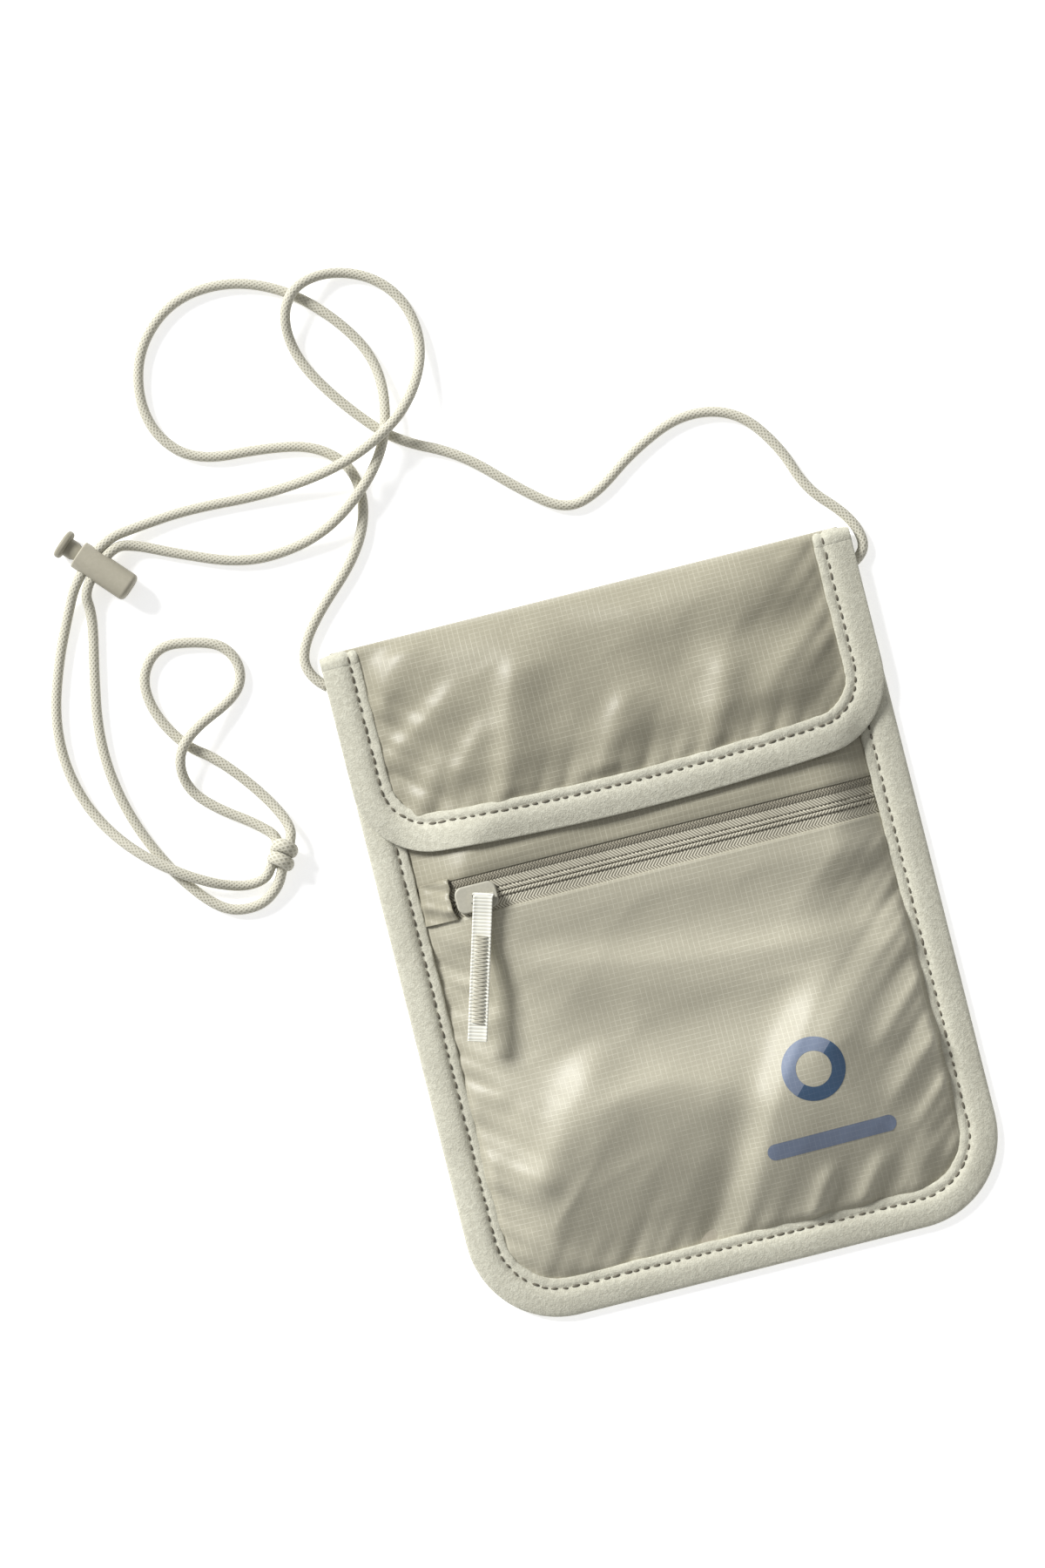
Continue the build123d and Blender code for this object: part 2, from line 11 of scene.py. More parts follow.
import bpy
import numpy as np
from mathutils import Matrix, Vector

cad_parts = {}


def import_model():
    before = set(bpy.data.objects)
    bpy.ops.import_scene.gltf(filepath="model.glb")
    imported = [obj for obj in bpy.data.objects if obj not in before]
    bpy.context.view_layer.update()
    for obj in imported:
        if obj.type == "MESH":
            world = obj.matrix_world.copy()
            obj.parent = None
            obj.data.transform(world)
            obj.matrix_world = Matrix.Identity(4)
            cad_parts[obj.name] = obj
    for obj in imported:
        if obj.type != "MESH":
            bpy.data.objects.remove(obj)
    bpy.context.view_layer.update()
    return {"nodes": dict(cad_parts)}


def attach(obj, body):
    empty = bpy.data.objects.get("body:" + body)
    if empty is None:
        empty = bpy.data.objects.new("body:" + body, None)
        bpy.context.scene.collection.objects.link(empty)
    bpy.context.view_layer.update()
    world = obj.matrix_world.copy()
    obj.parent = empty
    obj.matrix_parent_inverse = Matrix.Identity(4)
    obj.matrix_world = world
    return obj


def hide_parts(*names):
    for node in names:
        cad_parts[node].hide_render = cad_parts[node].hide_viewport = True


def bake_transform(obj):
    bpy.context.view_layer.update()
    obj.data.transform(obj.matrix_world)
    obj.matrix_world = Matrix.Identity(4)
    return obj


LOG = logging.getLogger("neck_pouch")
MM = 0.001
Array = np.ndarray
Point = tuple[float, float, float]
Colour = tuple[float, float, float]
Heights = Callable[[Array, Array], Array]


# ---------------------------------------------------------------- numbers and meshes


def ease(t: Array) -> Array:
    """Smooth step: 0 below 0, 1 above 1, and 3t^2 - 2t^3 between.

    Args:
        t: Positions along the step.

    Returns:
        The eased values.
    """
    held = np.clip(t, 0.0, 1.0)
    return held * held * (3.0 - 2.0 * held)


def unit(vectors: Array) -> Array:
    """Vectors scaled to length one.

    Args:
        vectors: Vectors in the last axis.

    Returns:
        The unit vectors.
    """
    return vectors / np.maximum(np.linalg.norm(vectors, axis=-1, keepdims=True), 1e-12)


def run_along(points: Array) -> Array:
    """Running length at each point: the sum of the steps before it.

    Args:
        points: Points along a line, one per row.

    Returns:
        Lengths from 0 to the whole.
    """
    return np.concatenate([[0.0], np.cumsum(np.linalg.norm(np.diff(points, axis=0), axis=1))])


def make_piece(
    name: str, points: Array, faces: list[list[int]], uv: Array | None = None
) -> bpy.types.Object:
    """A smooth mesh object from whole arrays.

    Args:
        name: The piece's name.
        points: Vertices in millimetres, one per row.
        faces: Vertex numbers of each face.
        uv: One UV pair for each face corner, in the faces' order.

    Returns:
        The new object, linked to the scene.
    """
    mesh = bpy.data.meshes.new(name)
    mesh.from_pydata((points.reshape(-1, 3) * MM).tolist(), [], faces)
    if uv is not None:
        layer = mesh.uv_layers.new(name="UVMap")
        layer.data.foreach_set("uv", uv.astype(np.float32).ravel())
    mesh.polygons.foreach_set("use_smooth", np.ones(len(mesh.polygons), bool))
    mesh.validate()
    mesh.update()
    piece = bpy.data.objects.new(name, mesh)
    bpy.context.scene.collection.objects.link(piece)
    return piece


def surface(
    name: str,
    points: Array,
    uv: Array | None = None,
    close_rows: bool = False,
    close_columns: bool = False,
    caps: bool = False,
    flip: bool = False,
) -> bpy.types.Object:
    """A mesh over a grid of points: each point is a function of its row and its column.

    Args:
        name: The piece's name.
        points: Rows x columns x 3, in millimetres.
        uv: Rows x columns x 2, with one more row or column where the grid closes on itself.
        close_rows: Joins the last row to the first.
        close_columns: Joins the last column to the first.
        caps: Closes the first and the last row with one face each.
        flip: Turns the faces round.

    Returns:
        The new object.
    """
    rows, columns = points.shape[:2]
    row, column = np.meshgrid(
        np.arange(rows if close_rows else rows - 1),
        np.arange(columns if close_columns else columns - 1),
        indexing="ij",
    )
    corner_row = np.stack([row, row, row + 1, row + 1], -1).reshape(-1, 4)
    corner_column = np.stack([column, column + 1, column + 1, column], -1).reshape(-1, 4)
    if flip:
        corner_row, corner_column = corner_row[:, ::-1], corner_column[:, ::-1]
    faces = ((corner_row % rows) * columns + corner_column % columns).tolist()
    corners = None if uv is None else uv[corner_row, corner_column].reshape(-1, 2)
    if caps:
        first, last = list(range(columns)), list(range((rows - 1) * columns, rows * columns))
        faces += [first, last[::-1]] if flip else [first[::-1], last]
        if corners is not None:
            ends = np.concatenate([uv[0, :columns], uv[rows - 1, :columns]])
            corners = np.concatenate([corners, ends])
    return make_piece(name, points, faces, corners)


def sweep(
    name: str,
    centre: Array,
    radii: tuple[float, float],
    sides: int = 14,
    up: Array | None = None,
    uv_length: float = 1.0,
) -> bpy.types.Object:
    """A closed tube whose ellipse is carried along a path, upright or along the given up vectors.

    Args:
        name: The piece's name.
        centre: The path in millimetres.
        radii: Half the width and half the height of the section.
        sides: Corners of the section.
        up: One up vector for each path point. Straight up where left out.
        uv_length: Millimetres along the path that one unit of V covers.

    Returns:
        The new object.
    """
    along = unit(np.gradient(centre, axis=0))
    rise = np.broadcast_to(np.array([0.0, 0.0, 1.0]), centre.shape) if up is None else up
    side = unit(np.cross(rise, along))
    lift = np.cross(along, side)
    angle = np.linspace(0.0, 2.0 * np.pi, sides, endpoint=False)
    points = (
        centre[:, None]
        + side[:, None] * (radii[0] * np.cos(angle))[None, :, None]
        + lift[:, None] * (radii[1] * np.sin(angle))[None, :, None]
    )
    run = run_along(centre)
    around, length = np.meshgrid(np.linspace(0.0, 1.0, sides + 1), run / uv_length)
    uv = np.stack([around, length], -1)
    return surface(name, points, uv, close_columns=True, caps=True)


def capsules(name: str, starts: Array, ends: Array, radius: float, bulge: Array) -> bpy.types.Object:
    """Many short threads as one mesh, each a bowed rod with pointed ends.

    Args:
        name: The piece's name.
        starts: First end of each thread in millimetres.
        ends: Last end of each thread.
        radius: Thread radius.
        bulge: How far each thread's middle stands out, as one vector for all or one for each.

    Returns:
        The new object.
    """
    share = np.array([0.0, 0.12, 0.35, 0.65, 0.88, 1.0])
    girth = np.array([0.25, 0.8, 1.0, 1.0, 0.8, 0.25]) * radius
    angle = np.linspace(0.0, 2.0 * np.pi, 6, endpoint=False)
    along = unit(ends - starts)
    side = unit(np.cross(np.array([0.0, 0.0, 1.0]), along))
    lift = np.cross(along, side)
    lifted = np.broadcast_to(bulge, starts.shape)
    middle = (
        starts[:, None] * (1 - share)[None, :, None]
        + ends[:, None] * share[None, :, None]
        + lifted[:, None] * np.sin(np.pi * share)[None, :, None]
    )
    ring = (
        side[:, None, None] * np.cos(angle)[None, None, :, None]
        + lift[:, None, None] * np.sin(angle)[None, None, :, None]
    )
    points = middle[:, :, None] + ring * girth[None, :, None, None]
    row, column = np.meshgrid(np.arange(5), np.arange(6), indexing="ij")
    one = np.stack(
        [
            row * 6 + column,
            row * 6 + (column + 1) % 6,
            (row + 1) * 6 + (column + 1) % 6,
            (row + 1) * 6 + column,
        ],
        -1,
    ).reshape(-1, 4)
    base = (np.arange(len(starts)) * 36)[:, None, None]
    quads = (one[None] + base).reshape(-1, 4).tolist()
    ends_of = [np.arange(5, -1, -1), np.arange(30, 36)]
    caps = [row for end in ends_of for row in (end[None] + base[:, 0]).tolist()]
    return make_piece(name, points, quads + caps)


def add_subdivision(piece: bpy.types.Object, levels: int = 1) -> None:
    """Puts a live subdivision surface on a piece.

    Args:
        piece: The piece.
        levels: Levels in the view and in the render.
    """
    modifier = piece.modifiers.new("rounding", "SUBSURF")
    modifier.levels = levels
    modifier.render_levels = levels


def add_wall(piece: bpy.types.Object, thickness: float, offset: float = -1.0) -> None:
    """Gives a sheet its wall.

    Args:
        piece: The piece.
        thickness: Wall in millimetres.
        offset: -1 puts the wall behind the faces.
    """
    modifier = piece.modifiers.new("wall", "SOLIDIFY")
    modifier.thickness = thickness * MM
    modifier.offset = offset


# ---------------------------------------------------------------- the pouch's form


@dataclass(frozen=True)
class Fold:
    """One soft ridge in a panel: a bell profile across a bowed line that fades out at its ends.

    start and end are in millimetres, height is at the crest, and left and right are the bell's
    widths on each side of the line as it is travelled. bow moves the line's middle to the left.
    """

    start: tuple[float, float]
    end: tuple[float, float]
    height: float
    left: float
    right: float
    bow: float = 0.0

    def at(self, x: Array, y: Array) -> Array:
        """The ridge's height over each place.

        Args:
            x: Places across the pouch.
            y: Places along the pouch.

        Returns:
            Heights in millimetres.
        """
        dx, dy = self.end[0] - self.start[0], self.end[1] - self.start[1]
        length = math.hypot(dx, dy)
        along = ((x - self.start[0]) * dx + (y - self.start[1]) * dy) / length**2
        held = np.clip(along, 0.0, 1.0)
        across = ((y - self.start[1]) * dx - (x - self.start[0]) * dy) / length
        across = across - self.bow * 4.0 * held * (1.0 - held)
        width = np.where(across > 0.0, self.left, self.right)
        fade = ease(along / 0.3) * ease((1.0 - along) / 0.3)
        return self.height * fade * np.exp(-((across / width) ** 2))


def crimp(place: Array, pitches: tuple[float, ...], seed: int) -> Array:
    """Uneven puckers along a seam: a sum of folded sine waves with seeded phases, about zero.

    Args:
        place: Positions along the seam in millimetres.
        pitches: Wave pitches in millimetres.
        seed: Seed of the phases.

    Returns:
        Heights between about -0.5 and 0.5.
    """
    phases = np.random.default_rng(seed).uniform(0.0, np.pi, len(pitches))
    waves = [
        0.64 - np.abs(np.sin(np.pi * place / pitch + phase))
        for pitch, phase in zip(pitches, phases)
    ]
    return sum(waves) / len(pitches)


def slack(x: Array, y: Array, run: tuple[float, float], lean: float, seed: int) -> Array:
    """Soft creases: random heights on a leaning lattice joined smoothly, folded about zero into ridges.

    Args:
        x: Places across the pouch.
        y: Places along the pouch.
        run: Lattice spacing along and across the lean, in millimetres.
        lean: Direction of the creases in radians.
        seed: Seed of the heights.

    Returns:
        Heights between about -0.6 and 0.4.
    """
    lattice = np.random.default_rng(seed).uniform(-1.0, 1.0, (80, 80))
    u = (x * math.cos(lean) + y * math.sin(lean)) / run[0] + 40.0
    v = (y * math.cos(lean) - x * math.sin(lean)) / run[1] + 40.0
    i, j = np.floor(u).astype(int), np.floor(v).astype(int)
    a, b = ease(u - i), ease(v - j)
    low = lattice[i, j] * (1.0 - a) + lattice[i + 1, j] * a
    high = lattice[i, j + 1] * (1.0 - a) + lattice[i + 1, j + 1] * a
    return 0.4 - np.sqrt((low * (1.0 - b) + high * b) ** 2 + 0.004)


@dataclass(frozen=True)
class PouchForm:
    """The pouch's sizes in millimetres, and the height of each layer over each place."""

    half_width: float = 70.0
    half_length: float = 90.0
    corner: float = 24.0
    seam: float = 9.3
    rise_run: float = 14.0
    slack_run: float = 20.0
    top_run: float = 9.0
    front_top: float = 84.5
    flap_top: float = 90.0
    flap_run: float = 17.0
    mouth: float = 80.0
    zip_y: float = 20.4
    zip_window: tuple[float, float] = (16.1, 26.2)
    pull_room: float = 11.5
    hem: float = 3.0
    tape_width: float = 9.8
    flap_length: float = 56.0
    flap_corner: float = 20.0
    front_layer: tuple[float, float] = (1.45, 9.7)
    flap_layer: tuple[float, float] = (4.4, 11.4)
    lower_folds: tuple[Fold, ...] = (
        Fold((-54.0, -64.0), (-18.0, -22.0), 2.8, 6.0, 7.0, 2.0),
        Fold((-38.0, -44.0), (16.0, -50.0), 2.6, 5.0, 9.0, 9.0),
        Fold((-14.0, -88.0), (13.0, -46.0), -1.5, 6.0, 5.0, 0.0),
        Fold((-1.0, -88.0), (49.0, -10.0), 4.2, 6.0, 24.0, 6.0),
        Fold((50.0, 22.0), (62.0, -30.0), 2.4, 9.0, 8.0, 0.0),
        Fold((-66.0, 2.0), (-46.0, -3.0), 0.9, 2.4, 3.4, 0.0),
        Fold((24.0, -46.0), (68.0, -8.0), 2.0, 5.0, 9.0, 3.0),
        Fold((-60.0, 11.0), (68.0, -10.0), 2.5, 5.0, 9.0, -10.0),
        Fold((-50.0, -20.0), (26.0, -30.0), -1.0, 8.0, 8.0, 0.0),
        Fold((-66.0, -46.0), (-40.0, -58.0), 1.5, 4.0, 4.5, 0.0),
        Fold((-62.0, -14.0), (-44.0, -46.0), 1.7, 6.0, 4.0, 3.0),
        Fold((-62.0, -66.0), (-32.0, -86.0), 1.2, 4.0, 3.0, 0.0),
        Fold((-66.0, -6.0), (-46.0, -14.0), 1.2, 3.0, 4.0, 0.0),
        Fold((-66.0, -26.0), (-48.0, -33.0), 1.0, 2.6, 3.6, 0.0),
        Fold((42.0, -44.0), (67.0, -20.0), 1.4, 3.0, 4.5, 0.0),
        Fold((42.0, -58.0), (68.0, -34.0), 1.5, 3.0, 4.5, 0.0),
        Fold((48.0, -66.0), (67.0, -48.0), 1.2, 3.0, 4.0, 0.0),
        Fold((14.0, -88.0), (28.0, -66.0), 1.5, 2.2, 3.6, 1.0),
        Fold((26.0, -88.0), (42.0, -66.0), 1.5, 2.2, 3.6, 1.0),
        Fold((40.0, -86.0), (54.0, -66.0), 1.1, 2.4, 3.6, 1.0),
    )
    flap_folds: tuple[Fold, ...] = (
        Fold((-68.0, 66.0), (-40.0, 93.0), 2.3, 5.0, 6.0, 0.0),
        Fold((-33.0, 36.0), (-18.0, 84.0), 2.3, 4.0, 8.0, 1.2),
        Fold((-64.0, 56.0), (-34.0, 76.0), 1.6, 3.0, 5.5, 0.0),
        Fold((-46.0, 48.0), (-30.0, 66.0), 1.0, 2.4, 4.0, 0.0),
        Fold((-16.0, 86.0), (30.0, 54.0), -1.6, 8.0, 6.0, 0.0),
        Fold((8.0, 74.0), (68.0, 67.0), -1.6, 8.5, 7.0, 0.0),
        Fold((-12.0, 36.0), (8.0, 66.0), 1.9, 4.0, 6.5, 0.0),
        Fold((20.0, 40.0), (34.0, 68.0), 1.5, 4.0, 5.0, 0.0),
        Fold((34.0, 48.0), (62.0, 72.0), 1.9, 5.0, 8.0, 0.0),
        Fold((48.0, 90.0), (64.0, 74.0), 0.8, 3.0, 3.0, 0.0),
        Fold((-58.0, 42.0), (-42.0, 60.0), 0.9, 3.0, 4.0, 0.0),
    )
    upper_folds: tuple[Fold, ...] = (
        Fold((-54.0, 26.5), (-8.0, 33.5), 0.6, 3.0, 4.0, 0.0),
        Fold((-4.0, 28.5), (44.0, 31.0), 0.5, 3.0, 3.0, 0.0),
    )

    def depth(self, x: Array, y: Array) -> Array:
        """Distance inwards from the outline: sides, bottom and round bottom corners.

        Args:
            x: Places across the pouch.
            y: Places along the pouch.

        Returns:
            Distances in millimetres.
        """
        side = np.abs(x) - (self.half_width - self.corner)
        low = -y - (self.half_length - self.corner)
        outside = np.hypot(np.maximum(side, 0.0), np.maximum(low, 0.0))
        return self.corner - outside - np.minimum(np.maximum(side, low), 0.0)

    def swell(self, x: Array, y: Array, top: float | None = None) -> Array:
        """Share of the full height over the run in from the seam.

        It is the mean of 1 - (1 - t)^2 and a smooth step. The run is short beside the zip,
        which lies flat, and long away from it, where the pouch is slack.

        Args:
            x: Places across the pouch.
            y: Places along the pouch.
            top: Where the layer comes down at its top, if it does.

        Returns:
            Shares from 0 to 1.
        """
        run = self.rise_run + self.slack_run * ease((np.abs(y - self.zip_y) - 5.0) / 24.0)
        t = np.clip((self.depth(x, y) - self.seam) / run, 0.0, 1.0)
        share = 0.5 * (1.0 - (1.0 - t) ** 2 + ease(t))
        if top is not None:
            top_run = self.flap_run if top == self.flap_top else self.top_run
            u = np.clip((top - y) / top_run, 0.0, 1.0)
            share = share * (1.0 - (1.0 - u) ** 2)
        return share

    def layer(self, x: Array, y: Array, heights: tuple[float, float], top: float | None = None) -> Array:
        """Height of a layer that is flat at the edge and swells to the middle.

        Args:
            x: Places across the pouch.
            y: Places along the pouch.
            heights: Height at the edge and in the middle.
            top: Where the layer comes down at its top, if it does.

        Returns:
            Heights in millimetres.
        """
        return heights[0] + (heights[1] - heights[0]) * self.swell(x, y, top)

    def seam_puckers(self, x: Array, y: Array, seed: int) -> Array:
        """Puckers that run slantwise out of the side and bottom bindings and fade inwards.

        Args:
            x: Places across the pouch.
            y: Places along the pouch.
            seed: Seed of the waves.

        Returns:
            Heights in millimetres.
        """
        inner = self.half_width - self.tape_width
        left = np.exp(-np.maximum(x + inner, 0.0) / 8.0) * crimp(
            y + 0.75 * (x + inner), (6.1, 9.7, 15.0), seed
        )
        right = np.exp(-np.maximum(inner - x, 0.0) / 7.5) * crimp(
            y + 0.85 * (inner - x), (5.3, 8.9, 14.0), seed + 1
        )
        base = y + self.half_length - self.tape_width
        low = np.exp(-np.maximum(base, 0.0) / 7.0) * crimp(x - 0.7 * base, (6.7, 10.3, 17.0), seed + 2)
        return -1.9 * left - 1.35 * right - 1.3 * low

    def front(self, x: Array, y: Array) -> Array:
        """Outer height of the front panel below and above the zip.

        Args:
            x: Places across the pouch.
            y: Places along the pouch.

        Returns:
            Heights in millimetres.
        """
        plain = self.layer(x, y, self.front_layer, self.front_top)
        low_share = ease((self.zip_window[0] - y) / 9.0)
        inside = ease((self.depth(x, y) - 7.6) / 4.0)
        lower = sum(fold.at(x, y) for fold in self.lower_folds) + self.seam_puckers(x, y, 5)
        lower = lower + 0.45 * slack(x, y, (24.0, 15.0), 0.6, 7) + 0.22 * slack(x, y, (12.0, 7.0), 0.3, 8)
        bulge = 2.6 * ease((self.zip_window[0] - y) / 62.0) * ease((y + 84.0) / 40.0)
        bulge = bulge - 1.6 * ease((14.0 - y) / 14.0) * ease((y + 48.0) / 28.0)
        upper = sum(fold.at(x, y) for fold in self.upper_folds)
        upper = upper * ease((y - self.zip_window[1]) / 2.5) * ease((46.0 - y) / 8.0)
        tucked = -1.6 * ease((y - 58.0) / 8.0) * ease((self.front_top - y) / 10.0)
        tucked = tucked * ease((self.depth(x, y) - 14.0) / 10.0)
        height = plain + inside * (low_share * (lower + bulge) + upper + tucked)
        over = height - self.pull_room - 9.0 * ease((-15.5 - y) / 14.0)
        return height - 0.4 * np.logaddexp(0.0, over / 0.4)

    def flap(self, x: Array, y: Array, puckers: float = 1.0) -> Array:
        """Outer height of the flap's fabric: the swell, the folds and the puckers along its tape.

        Args:
            x: Places across the pouch.
            y: Places along the pouch.
            puckers: Share of the puckers.

        Returns:
            Heights in millimetres.
        """
        plain = self.layer(x, y, self.flap_layer, self.flap_top)
        crest = 0.9 * ease((self.half_width - 12.0 - np.abs(x)) / 14.0) * ease((y - 46.0) / 8.0)
        plain = plain + crest * ease((self.flap_top - y) / 10.0)
        inner = self.half_width - self.tape_width
        inside = ease((self.half_width - 9.0 - np.abs(x)) / 5.0) * ease((y - 41.5) / 4.0)
        inside = inside * ease((90.6 - y) / 6.0)
        close = ease((self.half_width - 9.4 - np.abs(x)) / 2.4) * ease((y - 40.6) / 2.4)
        close = close * ease((90.6 - y) / 4.0)
        left = np.exp(-np.maximum(x + inner, 0.0) / 9.0) * crimp(y + 0.8 * (x + inner), (7.1, 11.7), 31)
        right = np.exp(-np.maximum(inner - x, 0.0) / 6.0) * crimp(y + 0.8 * (inner - x), (6.3, 9.1), 32)
        low = np.exp(-np.maximum(y - 42.0, 0.0) / 5.0) * crimp(x - 0.5 * (y - 42.0), (6.9, 11.0), 33)
        folds = sum(fold.at(x, y) for fold in self.flap_folds)
        folds = folds + 0.45 * slack(x, y, (20.0, 11.0), 0.9, 17) + 0.22 * slack(x, y, (12.0, 6.0), 0.5, 18)
        return plain + inside * folds - puckers * close * (
            2.0 * left * ease((82.0 - y) / 12.0) + 1.0 * right + 1.3 * low
        )


FORM = PouchForm()


# ---------------------------------------------------------------- finishes


class Nodes:
    """Small helper that adds and links shader nodes in one tree."""

    def __init__(self, tree: bpy.types.NodeTree) -> None:
        """Keeps the tree that the nodes go into."""
        self.tree = tree

    def add(self, kind: str, **settings: object) -> bpy.types.Node:
        """A new node with its properties set.

        Args:
            kind: The node's type name.
            **settings: Properties to set.

        Returns:
            The node.
        """
        node = self.tree.nodes.new(kind)
        for key, value in settings.items():
            setattr(node, key, value)
        return node

    def link(self, start: bpy.types.NodeSocket, end: bpy.types.NodeSocket) -> None:
        """Joins two sockets."""
        self.tree.links.new(start, end)

    def feed(self, socket: bpy.types.NodeSocket, value: object) -> None:
        """Links a socket to another, or sets its number.

        Args:
            socket: The input.
            value: A socket or a plain value.
        """
        if isinstance(value, bpy.types.NodeSocket):
            self.link(value, socket)
        elif value is not None:
            socket.default_value = value

    def maths(
        self, operation: str, first: object, second: object = None, third: object = None
    ) -> bpy.types.NodeSocket:
        """One step of arithmetic.

        Args:
            operation: The Math node's operation.
            first: First value or socket.
            second: Second value or socket.
            third: Third value or socket.

        Returns:
            The result's socket.
        """
        node = self.add("ShaderNodeMath", operation=operation)
        for index, value in enumerate((first, second, third)):
            self.feed(node.inputs[index], value)
        return node.outputs[0]

    def mix(self, factor: object, first: object, second: object) -> bpy.types.NodeSocket:
        """A colour between two.

        Args:
            factor: Share of the second colour.
            first: First colour or socket.
            second: Second colour or socket.

        Returns:
            The colour's socket.
        """
        node = self.add("ShaderNodeMix", data_type="RGBA")
        self.feed(node.inputs[0], factor)
        self.feed(node.inputs[6], first)
        self.feed(node.inputs[7], second)
        return node.outputs[2]

    def split(self, vector: bpy.types.NodeSocket) -> bpy.types.bpy_prop_collection:
        """The X, Y and Z sockets of a vector."""
        node = self.add("ShaderNodeSeparateXYZ")
        self.link(vector, node.inputs[0])
        return node.outputs

    def scaled(self, vector: bpy.types.NodeSocket, size: bpy.types.NodeSocket) -> bpy.types.NodeSocket:
        """A vector times a size."""
        node = self.add("ShaderNodeVectorMath", operation="SCALE")
        self.link(vector, node.inputs[0])
        self.link(size, node.inputs["Scale"])
        return node.outputs[0]

    def ramp(
        self, value: object, low: float, high: float, out_low: float = 0.0, out_high: float = 1.0
    ) -> bpy.types.NodeSocket:
        """A smooth step from one value range to another.

        Args:
            value: The socket to map.
            low: Where the step starts.
            high: Where it ends.
            out_low: Result before the start.
            out_high: Result after the end.

        Returns:
            The result's socket.
        """
        node = self.add("ShaderNodeMapRange", interpolation_type="SMOOTHSTEP")
        for index, item in enumerate((value, low, high, out_low, out_high)):
            self.feed(node.inputs[index], item)
        return node.outputs[0]

    def noise(
        self, vector: object, scale: float, detail: float = 3.0, rough: float = 0.55
    ) -> bpy.types.NodeSocket:
        """A noise value over a vector.

        Args:
            vector: The place.
            scale: Noise scale.
            detail: Octaves.
            rough: Roughness of the octaves.

        Returns:
            The noise factor's socket.
        """
        node = self.add("ShaderNodeTexNoise")
        self.feed(node.inputs["Vector"], vector)
        node.inputs["Scale"].default_value = scale
        node.inputs["Detail"].default_value = detail
        node.inputs["Roughness"].default_value = rough
        return node.outputs["Fac"]


def new_group(
    name: str, inputs: dict[str, tuple[str, object]], outputs: dict[str, str]
) -> tuple[Nodes, bpy.types.Node, bpy.types.Node]:
    """An empty shader node group with named sockets.

    Args:
        name: The group's name.
        inputs: Socket name to type and default.
        outputs: Socket name to type.

    Returns:
        The helper, the group's input node and its output node.
    """
    tree = bpy.data.node_groups.new(name, "ShaderNodeTree")
    for label, (kind, default) in inputs.items():
        socket = tree.interface.new_socket(label, in_out="INPUT", socket_type=kind)
        if default is not None:
            socket.default_value = default
    for label, kind in outputs.items():
        tree.interface.new_socket(label, in_out="OUTPUT", socket_type=kind)
    nodes = Nodes(tree)
    return nodes, nodes.add("NodeGroupInput"), nodes.add("NodeGroupOutput")


FLOAT, VECTOR = "NodeSocketFloat", "NodeSocketVector"


